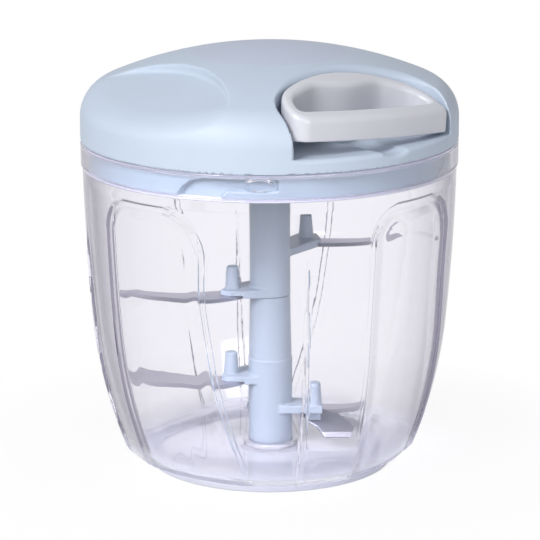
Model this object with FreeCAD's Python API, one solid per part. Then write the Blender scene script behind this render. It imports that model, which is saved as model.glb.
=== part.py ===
import FreeCAD, Part
import math
import os

from FreeCAD import Vector

# A pull-string food chopper. Millimetres, +Z up, origin on the table under the bowl's centre.
# Azimuths are in degrees round Z: 0 faces -Y, the front, and 90 faces +X.

UP = Vector(0, 0, 1)
ORIGIN = Vector(0, 0, 0)

# General clearances
FIT_GAP = 0.05          # a shaft in its running bore, on the radius
FACE_GAP = 0.05         # two faces that rest on each other
MOVING_GAP = 0.5        # two pieces that pass each other
CUT_PAST = 1.0          # how far a cutting tool runs past the face it opens
QUARTERS = (0, 90, 180, 270)
HALF_TURN = 180

# Bowl
BAND_RADIUS = 65.1
RIM_TOP = 115.0
BAND_TALL = 8.2
BAND_FOOT = RIM_TOP - BAND_TALL
BARREL_HEEL = (BAND_RADIUS - 14.8, 6.1)             # radius and height of each station of the outer wall
BARREL_LOW = (BAND_RADIUS - 7.9, 27.5)
BARREL_BELLY = (BAND_RADIUS - 4.1, 47.9)
BARREL_HIGH = (BAND_RADIUS - 1.9, BAND_FOOT - 32.9)
BARREL_TOP = (BAND_RADIUS - 0.7, BAND_FOOT - 6.8)
BOWL_WALL = 2.4
BOWL_UNDERSIDE = 2.2
HEEL_ROUND = 4.3
HEEL_RADIUS = BARREL_HEEL[0] - HEEL_ROUND
HEEL_BEND = 0.5
FLOOR_TOP = 5.0
FLOOR_CORNER = 6.0
SEAT_BELOW_BAND = 1.2
SEAT_HEIGHT = BAND_FOOT - SEAT_BELOW_BAND           # the step inside the mouth that the seal ring lies on
SEAT_WIDTH = 0.9
MOUTH_STEP = 0.1
COLLAR_OUTER = 9.6
COLLAR_INNER = 7.6
COLLAR_TOP = 6.6
POST_RADIUS = 4.5
POST_TOP = 11.0

# Arched panels in the bowl's wall
PANEL_AZIMUTH = 51.0
PANEL_AXIS_BACK = 60.0              # how far behind the bowl's axis the panel's own axis stands
PANEL_BELOW_BAND = 5.3
PANEL_TOP = BAND_FOOT - PANEL_BELOW_BAND
PANEL_LOW_DEPTHS = ((-6.0, 3.8), (6.0, 3.4), (30.0, 2.3), (48.0, 1.8))      # height and depth
PANEL_HIGH_DEPTHS = ((21.5, 1.6), (9.5, 1.3), (3.5, 0.7))                   # below the top, and depth
PANEL_REACH = 46.0
RIB_AZIMUTH = 11.3
RIB_BELOW_PANEL_TOP = 14.5
RIB_TOP = PANEL_TOP - RIB_BELOW_PANEL_TOP
RIB_FOOT_WIDTH = 2.6
RIB_HEIGHT = 0.6

# Bayonet
LUG_AZIMUTH = -3.05
LUG_LENGTH = 8.8
LUG_TALL = 4.2
LUG_BELOW_RIM = 3.8
LUG_MIDDLE = RIM_TOP - LUG_BELOW_RIM
LUG_STANDS = 1.9
LUG_ROOT = 4.0
UNLOCK_TURN = 18.5
LUG_GAP = 0.25

# Foot ring
FOOT_INSET = 3.4
FOOT_WIDTH = 6.1
FOOT_OUTER = HEEL_RADIUS - FOOT_INSET
FOOT_INNER = FOOT_OUTER - FOOT_WIDTH
FOOT_TOP = 3.0

# Pivot pin and its bush in the blade holder
PIN_RADIUS = 2.5
PIN_FOOT = 3.4
PIN_TOP = 23.0
BUSH_RADIUS = 4.0
BUSH_FOOT = 12.0
BUSH_TOP = 25.0

# Lid
LID_WALL = 2.4
CROWN_RADIUS = 146.0
SHOULDER_RADIUS = 13.5
LID_RADIUS = BAND_RADIUS
SHOULDER_ABOVE_RIM = 7.84
SHOULDER_FOOT = RIM_TOP + SHOULDER_ABOVE_RIM
SKIRT_WALL = 3.0
SKIRT_GAP = 0.3
BASE_THICKNESS = 2.2
HUB_OPENING = 9.2

# Pocket for the handle, and the thumb dish beside it
PULL_AZIMUTH = 38.5
POCKET_REACH = 33.0                                 # from the lid's wall in to the pocket's back
POCKET_BACK = LID_RADIUS - POCKET_REACH
POCKET_BACK_CURVE = 60.0
POCKET_CORNER = 14.0
POCKET_SIDE = 31.2                                  # from the lid's wall in to the pocket's side
POCKET_HALF_WIDTH = LID_RADIUS - POCKET_SIDE
LEDGE_ABOVE_RIM = 4.9
LEDGE_TOP = RIM_TOP + LEDGE_ABOVE_RIM
DISH_AZIMUTH = -51.5
DISH_REACH = 32.5
DISH_LIP = LID_RADIUS - DISH_REACH
DISH_CURVE = 58.0
DISH_BELOW_TOP = 6.8
DISH_FALL = 19.9

# Handle
HANDLE_GAP = 0.9
HANDLE_SIDE_GAP = 1.5
HANDLE_HALF_WIDTH = POCKET_HALF_WIDTH - HANDLE_SIDE_GAP
HANDLE_SET_BACK = 5.9                               # from the lid's wall in to the bowed front's middle
HANDLE_FRONT = LID_RADIUS - HANDLE_SET_BACK
HANDLE_FRONT_CURVE = 133.0
HANDLE_LEFT_CORNER = 4.5
HANDLE_RIGHT_CORNER = 1.5
HANDLE_HOLE_CORNER = 2.2
HANDLE_BAR = 4.2
HANDLE_FRONT_BAR = 5.2
HANDLE_CLEAR = 0.9
HANDLE_FOOT = LEDGE_TOP + HANDLE_CLEAR
HANDLE_FACE = 7.8
HANDLE_BACK_TALL = 19.2
HANDLE_TILT = 4.1
HANDLE_EDGE = 1.5
BOSS_CURVE = 18.0
BOSS_REACH = 7.4                                    # from the back wall's outer face in to the boss's front
KNOT_ROOM = 2.5
KNOT_WALL = 1.6
PLUG_THICK = 2.0

# Finger channel in the ledge, from under the handle to the ledge's edge
SCOOP_WIDTH = 11.3
SCOOP_DEPTH = 1.5
SCOOP_AHEAD = 6.0                                   # from the pocket's back wall to the channel's start
SCOOP_FROM = POCKET_BACK + SCOOP_AHEAD

# Cord
CORD_RADIUS = 1.1
CORD_LINE = 1.5                     # the cord's line, sideways of the pull axis
CORD_HOLE_GAP = 0.4
KNOT_RADIUS = 2.1
GUIDE_LIP = 3.6
GUIDE_LIP_THICK = 1.0
GUIDE_RUN_IN = 4.0

# Spool and its axle
DRUM_RADIUS = 15.5                  # to the middle of the wound cord
SPOOL_FLANGE = 19.5
FLANGE_THICK = 1.5
CORD_TURNS = 4
TURN_GAP = 0.45
TAIL_RADIUS = 8.5
SPOOL_OVER_CAP = 1.375
AXLE_RADIUS = 2.5
AXLE_BOSS = 6.0
WASHER_RADIUS = 4.6
WASHER_THICK = 0.7
SCREW_HEAD_RADIUS = 3.2
SCREW_HEAD_TALL = 1.3
SCREW_SHANK = 1.4
SCREW_LENGTH = 7.0

# Recoil spring and its case
CASE_BEHIND_POCKET = 5.1
CASE_RADIUS = POCKET_BACK - CASE_BEHIND_POCKET
CASE_WALL = 1.8
CASE_FLOOR = 1.4
CASE_TALL = 11.2
CASE_TOP = BAND_FOOT + BASE_THICKNESS + CASE_TALL
CAP_THICK = 1.4
SPRING_TURNS = 6
SPRING_STRIP = 0.5
SPRING_TALL = 8.0
EAR_REACH = 4.0
EAR_RADIUS = CASE_RADIUS + EAR_REACH
EAR_ROUND = 3.2
EAR_CLEAR = 0.3
EAR_POST_TALL = 5.2
EAR_FOOT = BAND_FOOT + EAR_POST_TALL
EAR_THICK = 2.2
EAR_AZIMUTHS = (100, 220, 340)
CASE_SCREW_SHANK = 1.1
CASE_SCREW_HEAD = 2.2
CASE_SCREW_HEAD_TALL = 1.32
CASE_SCREW_LENGTH = 5.0

# Screws that hold the lid's base to its cover
COVER_SCREW_AZIMUTH = -3.0
COVER_SCREW_INSET = 13.1
COVER_SCREW_CIRCLE = LID_RADIUS - COVER_SCREW_INSET
COVER_BOSS_RADIUS = 4.0
COVER_SCREW_SHANK = 1.4
COVER_SCREW_HEAD = 2.8
COVER_SCREW_HEAD_TALL = 1.6
COVER_SCREW_LENGTH = 9.0
SLOT_WIDTH = 0.8

# Hub seal in the lid's base, round the drive
HUB_SEAL_OUTER = 12.0
HUB_SEAL_TALL = 1.2
HUB_LIP = 0.6

# Seal ring in the mouth
SEAL_WIDTH = 4.8
SEAL_GAP = 0.2

# Drive and blade holder
HEX_FLATS = 10.0
HEX_GAP = 0.15
HEX_ABOVE_BASE = 10.8
HEX_TOP = BAND_FOOT + HEX_ABOVE_BASE
HEX_LEAD_IN = 1.5
AXLE_OVER_HEX = 3.4
AXLE_FOOT = HEX_TOP + AXLE_OVER_HEX
SOCKET_RADIUS = 7.2
SOCKET_ABOVE_BASE = 0.6
SOCKET_FOOT = BAND_FOOT + SOCKET_ABOVE_BASE
SLEEVE_RADIUS = 7.07
SIDE_ARM_HEIGHT = 59.2              # the underside of the sleeve's lower arm
SLEEVE_FOOT = SIDE_ARM_HEIGHT       # the sleeve starts level with it
SLEEVE_BELOW_BASE = 2.3
SLEEVE_TOP = BAND_FOOT - SLEEVE_BELOW_BASE
NECK_RADIUS = 6.75
SHOULDER_HEIGHT = 36.7
LOWER_RADIUS = 7.1
HOLDER_FOOT = 5.3
HOLDER_FOOT_ROUND = 1.5
SPIGOT_FLATS = 8.0
SPIGOT_TOP = 80.0

# Arms and blades
ARM_THICK = 2.9
BLADE_THICK = 0.9
PEG_TALL = 8.0
PEG_RADIUS = 2.6
PEG_TIP_RADIUS = 2.1
PEG_TIP_ROUND = 0.7
HIGH_ARM_HEIGHT = 71.7              # underside of each arm
LOW_ARM_HEIGHT = 27.9
SCOOP_ARM_HEIGHT = 17.6
REAR_ARM_HEIGHT = 13.4
SCOOP_SLOPE = 0.6
SCOOP_EDGE_HEIGHT = 16.2
SCOOP_EDGE_Y = 1.5

# Blades in plan, from the root to the tip, and how far the longest stays inside the band
BLADE_TIP_GAP = 7.54
HIGH_LEADING = ((11.5, 17.5), (21.0, 17.0), (33.0, 18.5), (42.0, 24.0), (48.5, 31.0))
HIGH_TRAILING = ((12.5, 27.0), (21.0, 26.5), (31.0, 26.5), (39.5, 29.0), (45.8, 34.2))
SIDE_LEADING = ((-9.0, -7.0), (-19.0, -13.4), (-29.0, -13.6), (-41.6, -8.0), (-51.2, 0.2))
SIDE_TRAILING = ((-9.0, 0.5), (-18.5, 0.6), (-27.0, -2.0), (-38.0, -1.4), (-46.0, 3.4))
LOW_LEADING = ((-9.0, -6.0), (-19.3, -12.6), (-31.5, -10.4), (-42.0, -4.6), (-49.9, 10.0))
LOW_TRAILING = ((-9.0, 2.0), (-21.7, 1.9), (-32.0, 3.6), (-39.5, 9.6), (-45.6, 15.6))
REAR_LEADING = ((3.0, 9.0), (16.0, 6.6), (26.0, 7.4), (33.5, 11.0), (38.5, 16.5))
REAR_TRAILING = ((-9.5, 12.5), (8.0, 17.5), (19.0, 15.5), (29.0, 15.8), (36.0, 19.6))
SCOOP_OUTLINE = ((12.2, 3.0), (18.6, 2.2), (24.0, 0.4), (28.3, -3.6), (29.4, -6.0),
                 (28.1, -8.4), (23.1, -9.6), (19.1, -8.7), (16.3, -4.8), (12.2, -2.0))
SCOOP_LOWEST = -9.6

# Arms in plan, and where their pegs stand
HIGH_ARM = ((3.0, 6.0), (6.6, 2.0), (16.6, 15.8), (18.2, 19.0), (16.8, 26.0), (10.6, 27.6),
            (2.0, 12.5), (1.0, 7.0))
HIGH_PEG = (12.9, 21.6)
SIDE_ARM = ((-17.4, -5.7), (-13.9, -7.8), (-5.9, -7.7), (-0.7, -7.0), (-2.0, 6.0), (-7.0, 7.5), (-13.7, 2.6))
SIDE_PEG = (-13.0, -3.3)
LOW_ARM = ((-17.1, -3.6), (-15.5, -6.0), (-7.0, -6.6), (-3.0, -6.2), (-3.0, 6.2), (-7.9, 9.2), (-15.5, 3.0))
LOW_PEG = (-13.7, -1.6)
SCOOP_ARM = ((3.0, -7.0), (4.2, -7.6), (18.2, -7.6), (18.2, -5.4), (11.5, -1.0), (8.0, 3.0), (3.0, 5.0))
SCOOP_PEG = (15.4, -4.9)
SCOOP_BRIDGE = ((8.0, 3.0), (11.5, -1.0), (17.7, -5.0), (17.7, 2.6), (12.9, 2.6))
SCOOP_SEAT = ((12.9, 17.7), (-3.4, 2.6))
SCOOP_SEAT_TALL = 3.6
REAR_ARM = ((-5.0, 3.0), (-8.5, 12.0), (-4.0, 17.0), (4.5, 17.5), (6.0, 3.0))
REAR_PEG = (-1.0, 13.4)


def at_azimuth(azimuth, radius, height=0.0):
    """A point given by its azimuth, radius and height."""
    angle = math.radians(azimuth)
    return Vector(radius * math.sin(angle), -radius * math.cos(angle), height)


def facing(shape, azimuth):
    """A copy of a shape that was built looking out along +X, turned to face an azimuth."""
    copy = shape.copy()
    copy.rotate(ORIGIN, UP, azimuth - 90)
    return copy


def rod(radius, bottom, top, centre=ORIGIN):
    """An upright cylinder."""
    return Part.makeCylinder(radius, top - bottom, Vector(centre.x, centre.y, bottom))


def tube(outer, inner, bottom, top, centre=ORIGIN):
    """An upright ring or tube."""
    return rod(outer, bottom, top, centre).cut(rod(inner, bottom - CUT_PAST, top + CUT_PAST, centre))


def block(x0, x1, y0, y1, z0, z1):
    """A box between two corners."""
    return Part.makeBox(x1 - x0, y1 - y0, z1 - z0, Vector(x0, y0, z0))


def prism(points, bottom, top):
    """A polygon in plan, extruded upward."""
    corners = [Vector(x, y, bottom) for x, y in points]
    wire = Part.makePolygon(corners + [corners[0]])
    return Part.Face(wire).extrude(Vector(0, 0, top - bottom))


def hexagon(flats, bottom, top):
    """A hexagonal bar by its width across flats."""
    corner = flats / math.sqrt(3)
    angles = [math.radians(60 * k) for k in range(6)]
    return prism([(corner * math.cos(angle), corner * math.sin(angle)) for angle in angles], bottom, top)


def curve_through(points):
    """A smooth edge through a few points."""
    curve = Part.BSplineCurve()
    curve.interpolate(points)
    return curve.toShape()


def line(start, end):
    """A straight edge."""
    return Part.LineSegment(start, end).toShape()


def arc(start, middle, end):
    """A round edge through three points."""
    return Part.Arc(start, middle, end).toShape()


def turned_solid(edges, axis_point=ORIGIN):
    """A solid turned about an upright axis from the closed outline of its half section."""
    face = Part.Face(Part.Wire(edges))
    solid = face.revolve(axis_point, UP, 360)
    return solid if solid.Volume > 0 else solid.reversed()


def section_point(station, inset=0.0):
    """A station of the barrel as a point of the half section."""
    return Vector(station[0] - inset, 0, station[1])


def circle_radius_at(stations, height):
    """The radius, at a height, of the arc through three stations."""
    (x1, z1), (x2, z2), (x3, z3) = stations
    d = 2 * (x1 * (z2 - z3) + x2 * (z3 - z1) + x3 * (z1 - z2))
    q1, q2, q3 = x1 * x1 + z1 * z1, x2 * x2 + z2 * z2, x3 * x3 + z3 * z3
    centre_x = (q1 * (z2 - z3) + q2 * (z3 - z1) + q3 * (z1 - z2)) / d
    centre_z = (q1 * (x3 - x2) + q2 * (x1 - x3) + q3 * (x2 - x1)) / d
    radius = math.hypot(x1 - centre_x, z1 - centre_z)
    return centre_x + math.sqrt(radius ** 2 - (height - centre_z) ** 2)


def barrel_radius(height):
    """The outer radius of the bowl's wall at a height."""
    if height < BARREL_BELLY[1]:
        return circle_radius_at((BARREL_HEEL, BARREL_LOW, BARREL_BELLY), height)
    return circle_radius_at((BARREL_BELLY, BARREL_HIGH, BARREL_TOP), height)


def panel_cutter(inset):
    """What is outside the four arched panels, for the wall's outer face or for one set in by a wall."""
    axis_point = Vector(-PANEL_AXIS_BACK, 0, 0)
    stations = list(PANEL_LOW_DEPTHS) + [(PANEL_TOP - below, depth) for below, depth in PANEL_HIGH_DEPTHS]
    points = [Vector(barrel_radius(height) - depth - inset, 0, height) for height, depth in stations]
    points.append(Vector(barrel_radius(PANEL_TOP) - inset, 0, PANEL_TOP))
    low, high = points[0], points[-1]
    edges = [curve_through(points)]
    edges.append(line(high, Vector(-PANEL_AXIS_BACK, 0, high.z)))
    edges.append(line(Vector(-PANEL_AXIS_BACK, 0, high.z), Vector(-PANEL_AXIS_BACK, 0, low.z)))
    edges.append(line(Vector(-PANEL_AXIS_BACK, 0, low.z), low))
    kept = turned_solid(edges, axis_point)
    outside = block(PANEL_REACH / 2, BAND_RADIUS * 2, -PANEL_REACH, PANEL_REACH, low.z, high.z)
    one = outside.cut(kept)
    return [facing(one, PANEL_AZIMUTH + turn) for turn in QUARTERS]


def barrel(outset=0.0):
    """The bowl's outer form up to its rim, or the same form standing out a little."""
    bottom = BOWL_UNDERSIDE
    heel = section_point(BARREL_HEEL, -outset)
    belly = section_point(BARREL_BELLY, -outset)
    top = section_point(BARREL_TOP, -outset)
    inner_heel = Vector(HEEL_RADIUS + outset, 0, bottom)
    bend = Vector((heel.x * 1.6 + inner_heel.x) / 2.6 + HEEL_BEND, 0, (heel.z + bottom * 2.2) / 3.2)
    band_foot = Vector(BAND_RADIUS, 0, BAND_FOOT)
    rim = Vector(BAND_RADIUS, 0, RIM_TOP)
    edges = [line(Vector(0, 0, bottom), inner_heel), arc(inner_heel, bend, heel)]
    edges.append(arc(heel, section_point(BARREL_LOW, -outset), belly))
    edges.append(arc(belly, section_point(BARREL_HIGH, -outset), top))
    edges.append(line(top, band_foot))
    edges.append(line(band_foot, rim))
    edges.append(line(rim, Vector(0, 0, RIM_TOP)))
    edges.append(line(Vector(0, 0, RIM_TOP), Vector(0, 0, bottom)))
    return turned_solid(edges)


def bowl_cavity():
    """The space inside the bowl, with its panels standing in and the seat for the seal ring."""
    low_z = FLOOR_TOP + FLOOR_CORNER
    low = Vector(circle_radius_at((BARREL_HEEL, BARREL_LOW, BARREL_BELLY), low_z) - BOWL_WALL, 0, low_z)
    belly = section_point(BARREL_BELLY, BOWL_WALL)
    top = section_point(BARREL_TOP, BOWL_WALL)
    floor_edge = Vector(low.x - FLOOR_CORNER, 0, FLOOR_TOP)
    bend = Vector(low.x - FLOOR_CORNER * 0.3, 0, FLOOR_TOP + FLOOR_CORNER * 0.25)
    seat_inner = Vector(mouth_radius() - SEAT_WIDTH, 0, SEAT_HEIGHT)
    edges = [line(Vector(0, 0, FLOOR_TOP), floor_edge), arc(floor_edge, bend, low)]
    edges.append(arc(low, section_point(BARREL_LOW, BOWL_WALL), belly))
    edges.append(arc(belly, section_point(BARREL_HIGH, BOWL_WALL), top))
    edges.append(line(top, seat_inner))
    edges.append(line(seat_inner, Vector(0, 0, SEAT_HEIGHT)))
    edges.append(line(Vector(0, 0, SEAT_HEIGHT), Vector(0, 0, FLOOR_TOP)))
    cavity = turned_solid(edges)
    cavity = cavity.cut(panel_cutter(BOWL_WALL))
    return cavity


def mouth_radius():
    """The inner radius of the bowl's mouth."""
    return BAND_RADIUS - BOWL_WALL - MOUTH_STEP


def lug(azimuth):
    """One oval bayonet lug inside the mouth."""
    half = (LUG_LENGTH - LUG_TALL) / 2
    outer = mouth_radius() + CUT_PAST
    inner = mouth_radius() - LUG_STANDS
    root = inner - LUG_ROOT
    ends = [Part.makeCylinder(LUG_TALL / 2, outer - root, Vector(root, side, LUG_MIDDLE), Vector(1, 0, 0))
            for side in (-half, half)]
    middle = block(root, outer, -half, half, LUG_MIDDLE - LUG_TALL / 2, LUG_MIDDLE + LUG_TALL / 2)
    oval = middle.fuse(ends).removeSplitter()
    ring = tube(outer, inner, LUG_MIDDLE - LUG_TALL, LUG_MIDDLE + LUG_TALL)
    return facing(oval.common(ring), azimuth)


def needle_rib(azimuth):
    """One thin rib on the plain part of the wall, a point at its top and widest at the heel."""
    half = RIB_FOOT_WIDTH / 2
    outline = [Vector(0, -half, BARREL_HEEL[1]), Vector(0, half, BARREL_HEEL[1]), Vector(0, 0, RIB_TOP)]
    wedge = Part.Face(Part.makePolygon(outline + [outline[0]])).extrude(Vector(BAND_RADIUS * 2, 0, 0))
    return facing(wedge, azimuth)


def make_bowl():
    """The clear bowl with its arched panels, ribs, lugs, seat, collar and pivot post."""
    outer = barrel().cut(panel_cutter(0.0))
    ribs = [needle_rib(RIB_AZIMUTH + turn) for turn in QUARTERS]
    raised = barrel(RIB_HEIGHT).common(Part.makeCompound(ribs))
    bowl = outer.fuse(raised)
    bowl = bowl.cut(bowl_cavity())
    mouth = rod(mouth_radius(), SEAT_HEIGHT, RIM_TOP + CUT_PAST)
    bowl = bowl.cut(mouth)
    bowl = bowl.cut(tube(FOOT_OUTER, FOOT_INNER, BOWL_UNDERSIDE - CUT_PAST, FOOT_TOP))
    collar = tube(COLLAR_OUTER, COLLAR_INNER, FLOOR_TOP - FACE_GAP, COLLAR_TOP)
    post = rod(POST_RADIUS, FLOOR_TOP - FACE_GAP, POST_TOP)
    lugs = [lug(LUG_AZIMUTH + turn) for turn in QUARTERS]
    bowl = bowl.fuse([collar, post] + lugs)
    bowl = bowl.cut(rod(PIN_RADIUS, PIN_FOOT, POST_TOP + CUT_PAST))
    return bowl.removeSplitter()


def dome(inset, bottom):
    """The lid's domed form, or the same set in by a wall, down to a height."""
    crown = CROWN_RADIUS - inset
    shoulder = SHOULDER_RADIUS - inset
    wall = LID_RADIUS - inset
    shoulder_x = LID_RADIUS - SHOULDER_RADIUS
    centre_z = dome_centre()
    slope = math.atan2(SHOULDER_FOOT - centre_z, shoulder_x)
    apex = Vector(0, 0, centre_z + crown)
    half_crown = (math.pi / 2 + slope) / 2
    crown_middle = Vector(crown * math.cos(half_crown), 0, centre_z + crown * math.sin(half_crown))
    meet = Vector(crown * math.cos(slope), 0, centre_z + crown * math.sin(slope))
    shoulder_middle = Vector(shoulder_x + shoulder * math.cos(slope / 2), 0,
                             SHOULDER_FOOT + shoulder * math.sin(slope / 2))
    foot = Vector(wall, 0, SHOULDER_FOOT)
    edges = [arc(apex, crown_middle, meet), arc(meet, shoulder_middle, foot)]
    edges.append(line(foot, Vector(wall, 0, bottom)))
    edges.append(line(Vector(wall, 0, bottom), Vector(0, 0, bottom)))
    edges.append(line(Vector(0, 0, bottom), apex))
    return turned_solid(edges)


def d_outline(gap, half_width, bottom):
    """The D-shaped outline that the pocket and the handle share, looking out along +X and open there."""
    back_curve = POCKET_BACK_CURVE - gap
    corner = POCKET_CORNER - gap
    back = POCKET_BACK + gap
    front = LID_RADIUS * 1.5
    centre_x = POCKET_BACK + POCKET_BACK_CURVE
    corner_y = half_width - corner
    corner_x = centre_x - math.sqrt((back_curve - corner) ** 2 - corner_y ** 2)
    toward = math.atan2(corner_y, corner_x - centre_x)
    touch = Vector(centre_x + back_curve * math.cos(toward), back_curve * math.sin(toward), bottom)
    bulge = (toward + math.pi / 2) / 2
    middle = Vector(corner_x + corner * math.cos(bulge), corner_y + corner * math.sin(bulge), bottom)
    side = Vector(corner_x, half_width, bottom)
    mouth = Vector(front, half_width, bottom)

    def mirrored(point):
        return Vector(point.x, -point.y, point.z)

    edges = [arc(touch, Vector(back, 0, bottom), mirrored(touch))]
    edges.append(arc(mirrored(touch), mirrored(middle), mirrored(side)))
    edges.append(line(mirrored(side), mirrored(mouth)))
    edges.append(line(mirrored(mouth), mouth))
    edges.append(line(mouth, side))
    edges.append(arc(side, middle, touch))
    return Part.Face(Part.Wire(edges))


def bow_centre(front):
    """The middle of the arc that a bowed front follows."""
    return Vector(front - HANDLE_FRONT_CURVE, 0, 0)


def on_bow(edge, centre):
    """Whether an upright edge stands on the bowed front."""
    box = edge.BoundBox
    return abs(math.hypot(box.XMin - centre.x, box.YMin - centre.y) - HANDLE_FRONT_CURVE) < FACE_GAP


def d_solid(gap, half_width, front, corners, bottom, top):
    """The D outline closed by a bowed front, with the front's left and right upright corners rounded."""
    solid = d_outline(gap, half_width, bottom).extrude(Vector(0, 0, top - bottom))
    centre = bow_centre(front)
    bow = rod(HANDLE_FRONT_CURVE, bottom - CUT_PAST, top + CUT_PAST, centre)
    bow.rotate(centre, UP, HALF_TURN)
    solid = solid.common(bow)
    for side, radius in zip((-1, 1), corners):
        upright = [edge for edge in solid.Edges if edge.BoundBox.YMin * side > CUT_PAST
                   and edge.BoundBox.ZLength > CUT_PAST and edge.BoundBox.YLength < FACE_GAP
                   and on_bow(edge, centre)]
        solid = solid.makeFillet(radius, upright)
    return solid


def pocket(grow, floor):
    """The handle's pocket as a solid, or the same with its walls standing round it."""
    face = d_outline(-grow, POCKET_HALF_WIDTH + grow, floor)
    return facing(face.extrude(Vector(0, 0, CROWN_RADIUS)), PULL_AZIMUTH)


def dish(grow):
    """The thumb dish as a solid, or the same with its wall standing round it."""
    reach = DISH_CURVE + grow
    centre = Vector(DISH_LIP + DISH_CURVE, 0, 0)
    post = rod(reach, 0, CROWN_RADIUS * 2, centre)
    fall = math.radians(DISH_FALL)
    floor = block(0, DISH_CURVE * 3, -reach, reach, -CROWN_RADIUS, 0)
    floor.rotate(ORIGIN, Vector(0, 1, 0), DISH_FALL)
    lip_floor = dome_top() - DISH_BELOW_TOP
    floor.translate(Vector(0, 0, lip_floor - grow / math.cos(fall) + DISH_LIP * math.tan(fall)))
    return facing(post.cut(floor), DISH_AZIMUTH)


def scoop():
    """The finger channel in the ledge in front of the handle."""
    radius = ((SCOOP_WIDTH / 2) ** 2 + SCOOP_DEPTH ** 2) / (2 * SCOOP_DEPTH)
    height = LEDGE_TOP - SCOOP_DEPTH + radius
    channel = Part.makeCylinder(radius, LID_RADIUS, Vector(SCOOP_FROM, CORD_LINE, height), Vector(1, 0, 0))
    return facing(channel, PULL_AZIMUTH)


def cord_hole(radius, start, end):
    """A round hole along the cord's line."""
    hole = Part.makeCylinder(radius, end - start, Vector(start, CORD_LINE, cord_height()), Vector(1, 0, 0))
    return facing(hole, PULL_AZIMUTH)


def cover_screw_places():
    """Where the lid's screws stand."""
    return [at_azimuth(COVER_SCREW_AZIMUTH + turn, COVER_SCREW_CIRCLE) for turn in QUARTERS]


def ear_places():
    """Where the spring case is screwed down."""
    return [at_azimuth(azimuth, EAR_RADIUS) for azimuth in EAR_AZIMUTHS]


def base_top():
    """The upper face of the lid's base plate."""
    return BAND_FOOT + BASE_THICKNESS


def cap_top():
    """The upper face of the spring case's cap."""
    return CASE_TOP + CAP_THICK


def groove_height():
    """The height of the spool's groove, from the turns of cord it takes."""
    return CORD_TURNS * 2 * CORD_RADIUS + (CORD_TURNS + 1) * TURN_GAP


def spool_foot():
    """The underside of the spool's lower flange, over the spring case's cap."""
    return cap_top() + SPOOL_OVER_CAP


def cord_height():
    """The height of the cord's line, at the middle of the spool's groove."""
    return spool_foot() + FLANGE_THICK + groove_height() / 2


def spool_top():
    """The upper face of the spool's upper flange."""
    return cord_height() + groove_height() / 2 + FLANGE_THICK


def axle_top():
    """The axle's upper end, inside the cover's boss."""
    return dome_top() - LID_WALL - CUT_PAST


def dome_centre():
    """The height of the crown's own centre, so that its arc runs on into the shoulder's."""
    shoulder_x = LID_RADIUS - SHOULDER_RADIUS
    return SHOULDER_FOOT - math.sqrt((CROWN_RADIUS - SHOULDER_RADIUS) ** 2 - shoulder_x ** 2)


def dome_top():
    """The height of the dome's top."""
    return dome_centre() + CROWN_RADIUS


def make_lid_cover():
    """The domed cover with the handle's pocket, the thumb dish, the axle's boss and four screw bosses."""
    foot = RIM_TOP + FACE_GAP
    outer = dome(0.0, foot)
    hollow = dome(LID_WALL, foot - CUT_PAST)
    hollow = hollow.cut(pocket(LID_WALL, LEDGE_TOP - LID_WALL))
    hollow = hollow.cut(dish(LID_WALL))
    boss_foot = spool_top() + FACE_GAP + WASHER_THICK + FACE_GAP
    hollow = hollow.cut(rod(AXLE_BOSS, boss_foot, CROWN_RADIUS * 2))
    cover = outer.cut(hollow)
    under_dome = dome(LID_WALL / 2, base_top())
    bosses = [rod(COVER_BOSS_RADIUS, base_top() + FACE_GAP, CROWN_RADIUS * 2, place).common(under_dome)
              for place in cover_screw_places()]
    cover = cover.fuse(bosses)
    cover = cover.cut([pocket(0.0, LEDGE_TOP), dish(0.0), scoop()])
    cover = cover.cut(rod(AXLE_RADIUS, boss_foot - CUT_PAST, axle_top()))
    guide_hole = cord_hole(guide_bore() + GUIDE_LIP_THICK, POCKET_BACK - LID_WALL * 2, POCKET_BACK + CUT_PAST)
    cover = cover.cut(guide_hole)
    tip = base_top() + COVER_SCREW_LENGTH - BASE_THICKNESS + COVER_SCREW_HEAD_TALL
    holes = [rod(COVER_SCREW_SHANK, base_top() - CUT_PAST, tip, place) for place in cover_screw_places()]
    cover = cover.cut(holes)
    return cover.removeSplitter()


def groove(azimuth):
    """One L-shaped bayonet groove in the skirt, open downward at its entrance."""
    outer = mouth_radius() + CUT_PAST
    inner = mouth_radius() - LUG_STANDS - LUG_GAP
    half_turn = math.degrees(LUG_LENGTH / 2 / mouth_radius())
    spare = math.degrees(LUG_GAP * 2 / mouth_radius())
    bottom = LUG_MIDDLE - LUG_TALL / 2 - LUG_GAP
    top = LUG_MIDDLE + LUG_TALL / 2 + LUG_GAP
    run = UNLOCK_TURN + 2 * (half_turn + spare)
    slot = ring_sector(outer, inner, bottom, top, azimuth - UNLOCK_TURN - half_turn - spare, run)
    entrance = ring_sector(outer, inner, BAND_FOOT - CUT_PAST, top,
                           azimuth - UNLOCK_TURN - half_turn - spare, 2 * (half_turn + spare))
    return slot.fuse(entrance)


def ring_sector(outer, inner, bottom, top, start_azimuth, sweep):
    """A part of a ring, from one azimuth through a sweep."""
    low_corners = [Vector(inner, 0, bottom), Vector(outer, 0, bottom)]
    high_corners = [Vector(outer, 0, top), Vector(inner, 0, top)]
    face = Part.Face(Part.makePolygon(low_corners + high_corners + low_corners[:1]))
    return facing(face.revolve(ORIGIN, UP, sweep), start_azimuth)


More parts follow.
